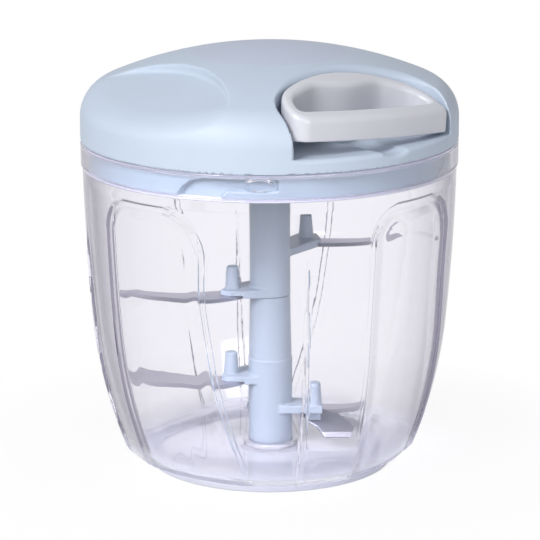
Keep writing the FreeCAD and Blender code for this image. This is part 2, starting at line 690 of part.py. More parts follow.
def make_lid_base():
    """The lid's base: a plate with a skirt, bayonet grooves, the drive's opening and posts for the case."""
    skirt_outer = mouth_radius() - SKIRT_GAP
    plate = rod(skirt_outer, BAND_FOOT, base_top())
    skirt_top = LEDGE_TOP - LID_WALL - MOVING_GAP
    skirt = tube(skirt_outer, skirt_outer - SKIRT_WALL, BAND_FOOT, skirt_top)
    posts = [rod(EAR_ROUND, BAND_FOOT, EAR_FOOT, place) for place in ear_places()]
    base = plate.fuse([skirt] + posts)
    base = base.cut([groove(LUG_AZIMUTH + turn) for turn in QUARTERS])
    base = base.cut(rod(HUB_OPENING, BAND_FOOT - CUT_PAST, base_top() + CUT_PAST))
    base = base.cut(rod(HUB_SEAL_OUTER, BAND_FOOT - CUT_PAST, BAND_FOOT + HUB_SEAL_TALL))
    holes = [rod(CASE_SCREW_SHANK, EAR_FOOT + EAR_THICK - CASE_SCREW_LENGTH, EAR_FOOT + CUT_PAST, place)
             for place in ear_places()]
    base = base.cut(holes)
    for place in cover_screw_places():
        base = base.cut(rod(COVER_SCREW_SHANK, BAND_FOOT - CUT_PAST, base_top() + CUT_PAST, place))
        base = base.cut(rod(COVER_SCREW_HEAD, BAND_FOOT - CUT_PAST, BAND_FOOT + COVER_SCREW_HEAD_TALL, place))
    return base.removeSplitter()


def screw_slot(radius, face, depth):
    """The driver's slot in the underside of a screw head."""
    return block(-radius, radius, -SLOT_WIDTH / 2, SLOT_WIDTH / 2, face - CUT_PAST, face + depth)


def make_cover_screws():
    """Four screws up through the base into the cover's bosses."""
    screws = []
    for place in cover_screw_places():
        head = rod(COVER_SCREW_HEAD, BAND_FOOT + FACE_GAP, BAND_FOOT + COVER_SCREW_HEAD_TALL, place)
        shank = rod(COVER_SCREW_SHANK, BAND_FOOT + COVER_SCREW_HEAD_TALL - FACE_GAP,
                    BAND_FOOT + COVER_SCREW_LENGTH, place)
        slot = screw_slot(COVER_SCREW_HEAD, BAND_FOOT, COVER_SCREW_HEAD_TALL / 2)
        slot.translate(place)
        screws.append(head.fuse(shank).cut(slot).removeSplitter())
    return Part.makeCompound(screws)


def make_spring_case():
    """The cup that holds the recoil spring, with three screwed ears."""
    foot = base_top() + FACE_GAP
    cup = tube(CASE_RADIUS, CASE_RADIUS - CASE_WALL, foot, CASE_TOP)
    floor = tube(CASE_RADIUS, TAIL_RADIUS + MOVING_GAP, foot, foot + CASE_FLOOR)
    ears = [rod(EAR_ROUND, EAR_FOOT + FACE_GAP, EAR_FOOT + EAR_THICK, place) for place in ear_places()]
    webs = []
    for azimuth in EAR_AZIMUTHS:
        web = block(CASE_RADIUS - CASE_WALL / 2, EAR_RADIUS, -EAR_ROUND, EAR_ROUND,
                    EAR_FOOT + FACE_GAP, EAR_FOOT + EAR_THICK)
        webs.append(facing(web, azimuth))
    case = cup.fuse([floor] + ears + webs)
    posts = [rod(EAR_ROUND + EAR_CLEAR, base_top() - CUT_PAST, EAR_FOOT + FACE_GAP, place)
             for place in ear_places()]
    case = case.cut(posts)
    case = case.cut([rod(CASE_SCREW_SHANK, EAR_FOOT - CUT_PAST, EAR_FOOT + EAR_THICK + CUT_PAST, place)
                     for place in ear_places()])
    return case.removeSplitter()


def make_spring_cap():
    """The lid of the spring's cup."""
    return tube(CASE_RADIUS, TAIL_RADIUS + MOVING_GAP, CASE_TOP + FACE_GAP, cap_top())


def make_case_screws():
    """Three small screws through the case's ears."""
    screws = []
    for place in ear_places():
        top = EAR_FOOT + EAR_THICK
        head = rod(CASE_SCREW_HEAD, top + FACE_GAP, top + CASE_SCREW_HEAD_TALL, place)
        shank = rod(CASE_SCREW_SHANK, top - CASE_SCREW_LENGTH, top + 2 * FACE_GAP, place)
        screws.append(head.fuse(shank).removeSplitter())
    return Part.makeCompound(screws)


def make_mainspring():
    """The flat recoil spring, one strip wound from the spool's tail to the case's wall."""
    start = TAIL_RADIUS + MOVING_GAP
    end = CASE_RADIUS - CASE_WALL - MOVING_GAP
    steps_per_turn = 12
    count = SPRING_TURNS * steps_per_turn
    inner, outer = [], []
    for step in range(count + 1):
        angle = 2 * math.pi * step / steps_per_turn
        radius = start + (end - start - SPRING_STRIP) * step / count
        inner.append((radius * math.cos(angle), radius * math.sin(angle)))
        outer.append(((radius + SPRING_STRIP) * math.cos(angle), (radius + SPRING_STRIP) * math.sin(angle)))
    foot = base_top() + CASE_FLOOR + MOVING_GAP
    inner_curve = curve_through([Vector(x, y, foot) for x, y in inner])
    outer_curve = curve_through([Vector(x, y, foot) for x, y in outer])
    ends = [line(Vector(*inner[k], foot), Vector(*outer[k], foot)) for k in (0, -1)]
    face = Part.Face(Part.Wire([inner_curve, ends[1], outer_curve, ends[0]]))
    return face.extrude(Vector(0, 0, SPRING_TALL))


def make_spool():
    """The cord's drum on its tail, bored for the axle and, below, for the drive socket and the screw."""
    core = rod(DRUM_RADIUS - CORD_RADIUS, spool_foot(), spool_top())
    lower = rod(SPOOL_FLANGE, spool_foot(), spool_foot() + FLANGE_THICK)
    upper = rod(SPOOL_FLANGE, spool_top() - FLANGE_THICK, spool_top())
    tail_foot = base_top() + FACE_GAP
    tail = rod(TAIL_RADIUS, tail_foot, spool_foot() + FACE_GAP)
    spool = core.fuse([lower, upper, tail])
    spool = spool.cut(rod(AXLE_RADIUS + FIT_GAP, tail_foot - CUT_PAST, spool_top() + CUT_PAST))
    spool = spool.cut(rod(WASHER_RADIUS + MOVING_GAP, tail_foot - CUT_PAST, AXLE_FOOT + FACE_GAP))
    spool = spool.cut(rod(SOCKET_RADIUS, tail_foot - CUT_PAST, socket_top()))
    return spool.removeSplitter()


def socket_top():
    """The drive socket's upper end, under the axle's screw."""
    return HEX_TOP + MOVING_GAP


def make_drive_socket():
    """The hexagonal socket that takes the blade holder's head."""
    sleeve = rod(SOCKET_RADIUS, SOCKET_FOOT, socket_top())
    return sleeve.cut(hexagon(HEX_FLATS + 2 * HEX_GAP, SOCKET_FOOT - CUT_PAST, socket_top() + CUT_PAST))


def make_cord_winding():
    """The cord's one wound layer, as a closed ring between the flanges."""
    return tube(DRUM_RADIUS + CORD_RADIUS, DRUM_RADIUS - CORD_RADIUS, spool_foot() + FLANGE_THICK + TURN_GAP,
                spool_top() - FLANGE_THICK - TURN_GAP)


def make_spool_axle():
    """The steel axle pressed into the cover's boss."""
    axle = rod(AXLE_RADIUS, AXLE_FOOT, axle_top())
    return axle.cut(rod(SCREW_SHANK, AXLE_FOOT - CUT_PAST, AXLE_FOOT + SCREW_LENGTH))


def make_axle_washers():
    """One washer over the spool and one under it."""
    upper_foot = spool_top() + FACE_GAP
    upper = tube(WASHER_RADIUS, AXLE_RADIUS + FIT_GAP, upper_foot, upper_foot + WASHER_THICK)
    lower = tube(WASHER_RADIUS, SCREW_SHANK + FIT_GAP, AXLE_FOOT - WASHER_THICK, AXLE_FOOT)
    return Part.makeCompound([upper, lower])


def make_axle_screw():
    """The screw that keeps the spool on its axle."""
    head_top = AXLE_FOOT - WASHER_THICK
    head = rod(SCREW_HEAD_RADIUS, head_top - SCREW_HEAD_TALL, head_top)
    shank = rod(SCREW_SHANK, head_top, AXLE_FOOT + SCREW_LENGTH)
    slot = screw_slot(SCREW_HEAD_RADIUS, head_top - SCREW_HEAD_TALL, SCREW_HEAD_TALL / 2)
    return head.fuse(shank).cut(slot).removeSplitter()


def guide_bore():
    """The bore of the cord's guide."""
    return CORD_RADIUS + CORD_HOLE_GAP


def make_cord_guide():
    """The eyelet that leads the cord through the pocket's back wall."""
    start = POCKET_BACK - LID_WALL - 2 * GUIDE_LIP_THICK
    sleeve = cord_hole(guide_bore() + GUIDE_LIP_THICK, start, POCKET_BACK)
    lip = cord_hole(GUIDE_LIP, start, start + GUIDE_LIP_THICK)
    bore = cord_hole(guide_bore(), start - CUT_PAST, POCKET_BACK + CUT_PAST)
    return sleeve.fuse(lip).cut(bore).removeSplitter()


def drum_tangent(target_x, target_y):
    """Where a straight cord to a point leaves the drum, on the side that turns the blades edge first."""
    distance = math.hypot(target_x, target_y)
    angle = math.atan2(target_y, target_x) - math.acos(DRUM_RADIUS / distance)
    return Vector(DRUM_RADIUS * math.cos(angle), DRUM_RADIUS * math.sin(angle), cord_height())


def make_cord_lead():
    """The cord from the drum through the guide to the handle, two straight runs and the arc between them."""
    corner_x = POCKET_BACK - LID_WALL - GUIDE_RUN_IN
    corner = Vector(corner_x, CORD_LINE, cord_height())
    start = drum_tangent(corner.x, corner.y)
    incoming = (corner - start).normalize()
    end = Vector(handle_wall_face(), CORD_LINE, cord_height())
    outgoing = (end - corner).normalize()
    turn = incoming.getAngle(outgoing)
    run = min((corner - start).Length, (end - corner).Length)
    radius = 0.45 * run / math.tan(turn / 2)
    trim = radius * math.tan(turn / 2)
    arc_start = corner - incoming * trim
    arc_end = corner + outgoing * trim
    inward = (outgoing - incoming).normalize()
    centre = corner + inward * (radius / math.cos(turn / 2))
    arc_middle = centre - inward * radius
    path = Part.Wire([line(start, arc_start), arc(arc_start, arc_middle, arc_end), line(arc_end, end)])
    ring = Part.Wire([Part.Circle(start, incoming, CORD_RADIUS).toShape()])
    solid = path.makePipeShell([ring], True, False)
    length = path.Length
    expected = math.pi * CORD_RADIUS ** 2 * length
    print("cord lead radius %.1f, length %.1f, volume ratio %.4f" % (radius, length, solid.Volume / expected))
    # The wound layer fills the groove up to its own outer face, and the free cord starts there.
    solid = solid.cut(rod(DRUM_RADIUS + CORD_RADIUS + FACE_GAP, spool_foot(), spool_top()))
    return facing(solid, PULL_AZIMUTH)


def handle_wall_face():
    """The outer face of the handle's back wall."""
    return POCKET_BACK + HANDLE_GAP


def level_cord():
    """The cord's line and height in the handle before the handle is tilted."""
    tilt = math.radians(HANDLE_TILT)
    sideways = CORD_LINE - HANDLE_HALF_WIDTH
    upward = cord_height() - HANDLE_FOOT
    return Vector(0, HANDLE_HALF_WIDTH + sideways * math.cos(tilt) - upward * math.sin(tilt),
                  HANDLE_FOOT + sideways * math.sin(tilt) + upward * math.cos(tilt))


def tilted(shape):
    """A handle piece, built level, as it lies in the pocket: its right end down and its left end raised."""
    copy = shape.copy()
    copy.rotate(Vector(0, HANDLE_HALF_WIDTH, HANDLE_FOOT), Vector(1, 0, 0), -HANDLE_TILT)
    return facing(copy, PULL_AZIMUTH)


def knot_centre():
    """The middle of the knot's room in the handle's boss, level."""
    return level_cord() + Vector(handle_wall_face() + BOSS_REACH - KNOT_ROOM - KNOT_WALL, 0, 0)


def handle_top():
    """The cone that the handle's top follows, falling toward its bowed front."""
    fall = (HANDLE_BACK_TALL - HANDLE_FACE) / (HANDLE_FRONT - handle_wall_face())
    foot_radius = HANDLE_FRONT_CURVE + HANDLE_FACE / fall
    tall = HANDLE_BACK_TALL * 2
    centre = bow_centre(HANDLE_FRONT) + Vector(0, 0, HANDLE_FOOT)
    cone = Part.makeCone(foot_radius, foot_radius - tall / fall, tall, centre)
    cone.rotate(centre, UP, HALF_TURN)
    return cone


def make_handle():
    """The D-shaped pull handle with the boss that hides the cord's knot."""
    wall_face = handle_wall_face()
    blank_top = HANDLE_FOOT + HANDLE_BACK_TALL + HANDLE_EDGE + CUT_PAST
    corners = (HANDLE_LEFT_CORNER, HANDLE_RIGHT_CORNER)
    outer = d_solid(HANDLE_GAP, HANDLE_HALF_WIDTH, HANDLE_FRONT, corners, HANDLE_FOOT, blank_top)
    hole_corners = (HANDLE_HOLE_CORNER, HANDLE_HOLE_CORNER)
    hole_front = HANDLE_FRONT - HANDLE_FRONT_BAR
    finger_hole = d_solid(HANDLE_GAP + HANDLE_BAR, HANDLE_HALF_WIDTH - HANDLE_BAR, hole_front,
                          hole_corners, HANDLE_FOOT - CUT_PAST, blank_top + CUT_PAST)
    centre = knot_centre()
    boss = rod(BOSS_CURVE, HANDLE_FOOT, blank_top, Vector(wall_face + BOSS_REACH - BOSS_CURVE, centre.y, 0))
    body = outer.cut(finger_hole).fuse(boss.common(outer)).removeSplitter()
    body = body.common(handle_top())
    lowest_edge = HANDLE_FOOT + HANDLE_FACE - FACE_GAP * 2
    upper_edges = [edge for edge in body.Edges if edge.BoundBox.ZMin > lowest_edge]
    body = body.makeFillet(HANDLE_EDGE, upper_edges)
    body = body.cut(rod(KNOT_ROOM, HANDLE_FOOT - CUT_PAST, centre.z + KNOT_ROOM, centre))
    hole = Part.makeCylinder(guide_bore(), centre.x - wall_face + CUT_PAST,
                             Vector(wall_face - CUT_PAST, centre.y, centre.z), Vector(1, 0, 0))
    return tilted(body.cut(hole).removeSplitter())


def make_handle_plug():
    """The plug that closes the knot's room from below."""
    return tilted(rod(KNOT_ROOM, HANDLE_FOOT, HANDLE_FOOT + PLUG_THICK, knot_centre()))


def make_cord_knot():
    """The knot in the cord's end, with the cord's last stretch through the handle's wall."""
    centre = knot_centre()
    knot = Part.makeSphere(KNOT_RADIUS, centre)
    tail = Part.makeCylinder(CORD_RADIUS, centre.x - handle_wall_face(),
                             Vector(handle_wall_face(), centre.y, centre.z), Vector(1, 0, 0))
    return tilted(knot.fuse(tail).removeSplitter())


def make_foot_ring():
    """The soft ring under the bowl, seated in its groove."""
    return tube(FOOT_OUTER, FOOT_INNER, 0.0, FOOT_TOP)


def make_pivot_pin():
    """The steel pin that the blade holder turns on."""
    pin = rod(PIN_RADIUS, PIN_FOOT, PIN_TOP)
    top_edge = [edge for edge in pin.Edges if edge.BoundBox.ZMin > PIN_TOP - FACE_GAP]
    return pin.makeFillet(PIN_RADIUS * 0.4, top_edge)


def make_lid_seal():
    """The flat seal ring on its seat inside the mouth."""
    outer = mouth_radius() - SEAL_GAP
    return tube(outer, outer - SEAL_WIDTH, SEAT_HEIGHT + FACE_GAP, BAND_FOOT - FACE_GAP)


def make_hub_seal():
    """The small lip seal round the drive, in the base's counterbore."""
    return tube(HUB_SEAL_OUTER, HUB_OPENING - HUB_LIP, BAND_FOOT, BAND_FOOT + HUB_SEAL_TALL)


def make_shaft_bush():
    """The bush in the holder's foot that runs on the pivot pin."""
    return tube(BUSH_RADIUS, PIN_RADIUS + FIT_GAP, BUSH_FOOT, BUSH_TOP)


def arm(outline, underside, peg_place):
    """A flat arm with its tapered peg."""
    plate = prism(outline, underside, underside + ARM_THICK)
    top = underside + ARM_THICK
    foot = Vector(peg_place[0], peg_place[1], top - FACE_GAP)
    peg = Part.makeCone(PEG_RADIUS, PEG_TIP_RADIUS, PEG_TALL, foot)
    tip = [edge for edge in peg.Edges if edge.BoundBox.ZMin > top + PEG_TALL / 2]
    peg = peg.makeFillet(PEG_TIP_ROUND, tip)
    return plate.fuse(peg)


def blade_scale():
    """How much the blades grow in plan, so that the longest keeps its gap to the band."""
    longest = max(math.hypot(x, y) for x, y in HIGH_LEADING)
    return (BAND_RADIUS - BLADE_TIP_GAP) / longest


def blade(leading, trailing, underside):
    """A flat blade between a leading and a trailing edge, each from the root to the tip."""
    scale = blade_scale()
    front = [Vector(x * scale, y * scale, underside) for x, y in leading]
    back = [Vector(x * scale, y * scale, underside) for x, y in trailing]
    edges = [curve_through(front), line(front[-1], back[-1]), curve_through(back), line(back[0], front[0])]
    return Part.Face(Part.Wire(edges)).extrude(Vector(0, 0, BLADE_THICK))


def make_blades():
    """The five blades: high, side, low, the banked one at the bottom, and the rear one."""
    high = blade(HIGH_LEADING, HIGH_TRAILING, HIGH_ARM_HEIGHT)
    side = blade(SIDE_LEADING, SIDE_TRAILING, SIDE_ARM_HEIGHT)
    low = blade(LOW_LEADING, LOW_TRAILING, LOW_ARM_HEIGHT)
    rear = blade(REAR_LEADING, REAR_TRAILING, REAR_ARM_HEIGHT)
    return high, side, low, make_scoop_blade(), rear


def make_scoop_blade():
    """The banked blade at the bottom, cut from a plate that slopes down to its leading edge."""
    low = SCOOP_EDGE_HEIGHT + SCOOP_SLOPE * (SCOOP_LOWEST - SCOOP_EDGE_Y)
    column = prism(SCOOP_OUTLINE, low - BLADE_THICK * 2, SCOOP_ARM_HEIGHT)
    bank = math.degrees(math.atan(SCOOP_SLOPE))
    plate = block(0, LOWER_RADIUS * 6, -LOWER_RADIUS * 3, LOWER_RADIUS * 3, 0, BLADE_THICK)
    plate.rotate(ORIGIN, Vector(1, 0, 0), bank)
    plate.translate(Vector(0, 0, SCOOP_EDGE_HEIGHT - SCOOP_SLOPE * SCOOP_EDGE_Y - BLADE_THICK))
    return plate.common(column)


def make_holder_lower(blades):
    """The lower half of the blade holder: foot, neck, spigot and three arms."""
    body = rod(LOWER_RADIUS, HOLDER_FOOT, SHOULDER_HEIGHT)
    foot = [edge for edge in body.Edges if edge.BoundBox.ZMax < HOLDER_FOOT + CUT_PAST]
    body = body.makeFillet(HOLDER_FOOT_ROUND, foot)
    neck = rod(NECK_RADIUS, SHOULDER_HEIGHT - FACE_GAP, SLEEVE_FOOT)
    spigot = hexagon(SPIGOT_FLATS, SLEEVE_FOOT - FACE_GAP, SPIGOT_TOP)
    low_arm = arm(LOW_ARM, LOW_ARM_HEIGHT, LOW_PEG)
    scoop_arm = arm(SCOOP_ARM, SCOOP_ARM_HEIGHT, SCOOP_PEG)
    rear_arm = arm(REAR_ARM, REAR_ARM_HEIGHT, REAR_PEG)
    (left, right), (front, back) = SCOOP_SEAT
    seat = block(left, right, front, back, SCOOP_ARM_HEIGHT - SCOOP_SEAT_TALL, SCOOP_ARM_HEIGHT + FACE_GAP)
    bridge = prism(SCOOP_BRIDGE, SCOOP_ARM_HEIGHT, SCOOP_ARM_HEIGHT + ARM_THICK)
    body = body.fuse([neck, spigot, low_arm, scoop_arm, rear_arm, seat, bridge])
    body = body.cut([blades[2], blades[3], blades[4]])
    body = body.cut(rod(POST_RADIUS + MOVING_GAP, HOLDER_FOOT - CUT_PAST, BUSH_FOOT))
    body = body.cut(rod(BUSH_RADIUS, BUSH_FOOT - CUT_PAST, BUSH_TOP))
    return body.removeSplitter()


def make_holder_upper(blades):
    """The upper half of the blade holder: sleeve, hexagonal head and two arms."""
    sleeve = rod(SLEEVE_RADIUS, SLEEVE_FOOT + FACE_GAP, SLEEVE_TOP)
    head = hexagon(HEX_FLATS, SLEEVE_TOP - FACE_GAP, HEX_TOP)
    # The cone rounds the head's upper corners, which leads it into the socket.
    lead_in = Part.makeCone(HEX_FLATS / 2 + HEX_LEAD_IN, HEX_FLATS / 2 - HEX_GAP, HEX_LEAD_IN,
                            Vector(0, 0, HEX_TOP - HEX_LEAD_IN))
    head = head.common(rod(HEX_FLATS, SLEEVE_TOP - FACE_GAP, HEX_TOP - HEX_LEAD_IN).fuse(lead_in))
    side_arm = arm(SIDE_ARM, SIDE_ARM_HEIGHT + FACE_GAP, SIDE_PEG)
    high_arm = arm(HIGH_ARM, HIGH_ARM_HEIGHT, HIGH_PEG)
    body = sleeve.fuse([head, side_arm, high_arm])
    body = body.cut(hexagon(SPIGOT_FLATS + 2 * HEX_GAP, SLEEVE_FOOT - CUT_PAST, SPIGOT_TOP + MOVING_GAP))
    body = body.cut([blades[0], blades[1]])
    return body.removeSplitter()


def make_parts():
    """Every node by name."""
    blades = make_blades()
    parts = {
        "bowl": make_bowl(),
        "foot_ring": make_foot_ring(),
        "pivot_pin": make_pivot_pin(),
        "lid_seal": make_lid_seal(),
        "lid_cover": make_lid_cover(),
        "lid_base": make_lid_base(),
        "hub_seal": make_hub_seal(),
        "cover_screws": make_cover_screws(),
        "spring_case": make_spring_case(),
        "spring_cap": make_spring_cap(),
        "case_screws": make_case_screws(),
        "mainspring": make_mainspring(),
        "spool_axle": make_spool_axle(),
        "axle_washers": make_axle_washers(),
        "axle_screw": make_axle_screw(),
        "cord_guide": make_cord_guide(),
        "cord_lead": make_cord_lead(),
        "cord_winding": make_cord_winding(),
        "spool": make_spool(),
        "drive_socket": make_drive_socket(),
        "handle": make_handle(),
        "handle_plug": make_handle_plug(),
        "cord_knot": make_cord_knot(),
        "holder_lower": make_holder_lower(blades),
        "holder_upper": make_holder_upper(blades),
        "shaft_bush": make_shaft_bush(),
    }
    for number, shape in enumerate(blades, start=1):
        parts["blade_%d" % number] = shape
    return parts


def write_parts(parts):
    """One STEP file for each node."""
    os.makedirs("parts", exist_ok=True)
    for name, shape in parts.items():
        box = shape.BoundBox
        print("%-14s solids %d valid %s volume %9.1f  x %6.1f %6.1f  y %6.1f %6.1f  z %6.1f %6.1f" % (
            name, len(shape.Solids), shape.isValid(), shape.Volume,
            box.XMin, box.XMax, box.YMin, box.YMax, box.ZMin, box.ZMax))
        shape.exportStep("parts/%s.step" % name)


write_parts(make_parts())
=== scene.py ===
# %% [markdown]
# # A pull-string food chopper
# This lesson dresses a clear bowl with a domed blue lid, a grey pull handle and a column of steel blades.
# The imported CAD model comes in as a fixed frame, and the pieces made here, all but the free stretch of
# cord, ride on its bodies, so the lid still lifts, the handle still pulls out and the blades still turn.

# %% Open the frame
import math

import bpy
import numpy as np
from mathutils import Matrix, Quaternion, Vector


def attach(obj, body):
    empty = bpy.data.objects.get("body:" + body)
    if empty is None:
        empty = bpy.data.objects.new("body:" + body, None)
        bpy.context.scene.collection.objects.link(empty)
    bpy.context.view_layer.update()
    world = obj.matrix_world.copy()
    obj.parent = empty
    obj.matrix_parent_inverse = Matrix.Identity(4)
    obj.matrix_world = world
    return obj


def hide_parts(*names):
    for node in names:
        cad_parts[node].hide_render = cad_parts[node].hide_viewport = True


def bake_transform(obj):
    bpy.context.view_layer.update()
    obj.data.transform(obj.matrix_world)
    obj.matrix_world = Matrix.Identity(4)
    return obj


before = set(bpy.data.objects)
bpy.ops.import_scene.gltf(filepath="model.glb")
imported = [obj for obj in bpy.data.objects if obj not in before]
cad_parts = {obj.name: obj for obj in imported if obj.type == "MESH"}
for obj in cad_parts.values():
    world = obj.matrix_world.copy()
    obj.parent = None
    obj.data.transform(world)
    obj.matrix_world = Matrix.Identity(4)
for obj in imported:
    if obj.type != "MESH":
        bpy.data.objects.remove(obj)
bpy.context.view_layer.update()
MM = 0.001

# %% [markdown]
# ## The photograph's viewpoint
# The rim of the lid and the band under it are circles on the real chopper and ellipses in the photograph.
# Their flatness gives the camera's height, and how much wider the near half looks gives its distance. A
# long lens, far away and a little above the rim, keeps the bowl's sides nearly upright.

# %% The camera
CAMERA_RISE = math.radians(14.1)
CAMERA_DISTANCE = 975 * MM
AIM_HEIGHT = 67.4 * MM
LENS = 186.3
CAMERA_ROLL = math.radians(0.205)

camera = bpy.data.objects.new("photo_camera", bpy.data.cameras.new("photo_camera"))
bpy.context.scene.collection.objects.link(camera)
camera.data.sensor_width = 36
camera.data.lens = LENS
camera_height = AIM_HEIGHT + CAMERA_DISTANCE * math.sin(CAMERA_RISE)
camera.location = (0, -CAMERA_DISTANCE * math.cos(CAMERA_RISE), camera_height)
looking = (Vector((0, 0, AIM_HEIGHT)) - camera.location).to_track_quat("-Z", "Y")
camera.rotation_mode = "QUATERNION"
camera.rotation_quaternion = looking @ Quaternion((0, 0, 1), -CAMERA_ROLL)
camera.data.clip_start = 0.05
camera.data.clip_end = 20
bpy.context.scene.camera = camera
bpy.context.scene.view_settings.view_transform = "Standard"
print("camera stands %.0f mm from the axis, %.0f mm up" % (-camera.location.y / MM, camera.location.z / MM))

# %% [markdown]
# ## Meshes from millimetres
# Blender works in metres and the chopper is easier to think about in millimetres. One helper turns points
# in millimetres into a mesh that rides on a body and takes its finish from a slot.

# %% A piece from points and faces
def piece(name, points, faces, body, crease=35):
    """A smooth piece from points in millimetres, with edges sharper than the crease angle kept crisp."""
    mesh = bpy.data.meshes.new(name)
    mesh.from_pydata((np.asarray(points, float) * MM).tolist(), [], [tuple(face) for face in faces])
    mesh.shade_smooth()
    if crease:
        mesh.set_sharp_from_angle(angle=math.radians(crease))
    made = bpy.data.objects.new(name, mesh)
    bpy.context.scene.collection.objects.link(made)
    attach(made, body)
    print("%s: %d points, %d faces" % (name, len(mesh.vertices), len(mesh.polygons)))
    return made


def grid_faces(rows, columns, ring=False):
    """The faces of a grid that closes round its columns, and round its rows too where it is a ring."""
    across = np.arange(columns)
    up = np.arange(rows if ring else rows - 1)[:, None]
    near = up * columns
    far = (up + 1) % rows * columns
    beside = (across + 1) % columns
    return np.stack([near + across, near + beside, far + beside, far + across], axis=-1).reshape(-1, 4)


def round_about(radius, azimuth, height):
    """Points from a radius, an azimuth in radians from the front toward the right, and a height."""
    radius, azimuth, height = np.broadcast_arrays(radius, azimuth, height)
    return np.stack([radius * np.sin(azimuth), -radius * np.cos(azimuth), height], axis=-1).reshape(-1, 3)

# %% [markdown]
# ## Turned pieces
# Rings, seals and feet are turned: a small outline goes once round the axis. Real moulded corners are never
# knife sharp, so each corner of the outline becomes a short arc first.

# %% Rounded outlines and the lathe
def rounded(corners, radius, steps=4):
    """A closed outline with an arc of one radius in place of each corner."""
    outline = []
    count = len(corners)
    for k in range(count):
        here = Vector(corners[k])
        back = (Vector(corners[k - 1]) - here).normalized()
        onward = (Vector(corners[(k + 1) % count]) - here).normalized()
        half = back.angle(onward) / 2
        middle = here + (back + onward).normalized() * radius / math.sin(half)
        start = here + back * radius / math.tan(half)
        end = here + onward * radius / math.tan(half)
        for step in range(steps + 1):
            part = (start - middle).lerp(end - middle, step / steps).normalized() * radius
            outline.append(tuple(middle + part))
    return outline


def turned(name, outline, body, columns=160):
    """A ring turned round the axis from a closed outline of (radius, height), given anticlockwise."""
    azimuth = np.linspace(0, 2 * math.pi, columns, endpoint=False)
    outline = np.array(outline)
    points = round_about(outline[:, :1], azimuth, outline[:, 1:])
    return piece(name, points, grid_faces(len(outline), columns, ring=True), body)

# %% [markdown]
# ## Forms carved out of distance
# A moulded lid is one smooth skin with pockets sunk into it and soft edges everywhere. Here such a form is
# a formula that gives the distance to its surface, below zero inside the plastic. Cutting and joining are
# then a larger-of and a smaller-of, and a radius makes the edge between them round. Two more helpers ease
# a value in from nothing to all, one evenly and one with soft ends.

# %% Joining, cutting and easing
def both(a, b, radius):
    """Where two forms overlap, with the edge between them rounded."""
    past = np.hypot(np.maximum(a + radius, 0), np.maximum(b + radius, 0))
    return np.minimum(np.maximum(a, b), -radius) + past


def either(a, b, radius):
    """Two forms joined, with a fillet between them."""
    return -both(-a, -b, radius)


def without(a, b, radius):
    """The first form less the second, with the edge rounded."""
    return both(a, -b, radius)


def ramp(value, start, end):
    """Nothing up to the start, one from the end on, and an even climb between."""
    return np.clip((value - start) / (end - start), 0, 1)


def smooth_step(value):
    """From zero up to one with no corner at either end."""
    value = np.clip(value, 0, 1)
    return value * value * (3 - 2 * value)

# %% [markdown]
# ## From distance to mesh
# The box round the form is cut into small cells, and each cell that the surface runs through gets one
# point. The point starts at the mean of the places where the surface crosses the cell's edges. Two steps
# along the slope of the distance then set it on the surface, and the same slope gives its normal.

# %% The skin of a form
def slope(field, points, reach=0.02):
    """The field's direction of fastest growth at some points."""
    steps = np.eye(3) * reach
    sides = [field(*(points + step).T) - field(*(points - step).T) for step in steps]
    return np.stack(sides, axis=-1) / (2 * reach)


def skin(name, field, low, high, step, body):
    """A piece whose surface is where the field is zero, between two corners of a box."""
    axes = [np.arange(start, end + step, step) for start, end in zip(low, high)]
    values = field(*np.meshgrid(*axes, indexing="ij", sparse=True))
    inside = values < 0
    cells = tuple(size - 1 for size in values.shape)
    total = np.zeros(cells + (3,))
    count = np.zeros(cells)
    crossings = []
    for axis in range(3):
        near = tuple(slice(0, -1) if k == axis else slice(None) for k in range(3))
        far = tuple(slice(1, None) if k == axis else slice(None) for k in range(3))
        crossed = inside[near] != inside[far]
        gap = np.where(crossed, values[near] - values[far], 1)
        places = np.stack(np.indices(crossed.shape).astype(float), axis=-1)
        places[..., axis] += np.where(crossed, values[near] / gap, 0)
        places[~crossed] = 0
        others = [k for k in range(3) if k != axis]
        for first in (0, 1):
            for second in (0, 1):
                pick = [slice(None)] * 3
                pick[others[0]] = slice(first, first + cells[others[0]])
                pick[others[1]] = slice(second, second + cells[others[1]])
                count += crossed[tuple(pick)]
                total += places[tuple(pick)]
        crossings.append((crossed, inside[near], others))
    number = np.full(cells, -1)
    number[count > 0] = np.arange(np.count_nonzero(count))
    points = np.array(low) + step * total[count > 0] / count[count > 0][:, None]
    faces = []
    for axis, (crossed, starts_inside, others) in enumerate(crossings):
        places = np.argwhere(crossed)
        keep = np.all([(places[:, k] > 0) & (places[:, k] < cells[k]) for k in others], axis=0)
        places = places[keep]
        corners = []
        for first, second in ((1, 1), (0, 1), (0, 0), (1, 0)):
            cell = places.copy()
            cell[:, others[0]] -= first
            cell[:, others[1]] -= second
            corners.append(number[tuple(cell.T)])
        quads = np.stack(corners, axis=-1)
        flip = starts_inside[tuple(places.T)] == (axis == 1)
        quads[flip] = quads[flip][:, ::-1]
        faces.append(quads)
    for _ in range(2):
        grow = slope(field, points)
        points -= grow * (field(*points.T) / np.maximum((grow ** 2).sum(axis=1), 0.1))[:, None]
    made = piece(name, points, np.concatenate(faces), body, crease=None)
    normals = slope(field, points)
    normals /= np.linalg.norm(normals, axis=1)[:, None]
    made.data.normals_split_custom_set_from_vertices(normals.tolist())
    return made

# %% [markdown]
# ## The domed lid
# Seen from the side the lid is a shallow crown that rolls over a tight shoulder into a short upright wall.
# Two arcs that meet without a corner give that line, and turning it round the axis gives the dome.

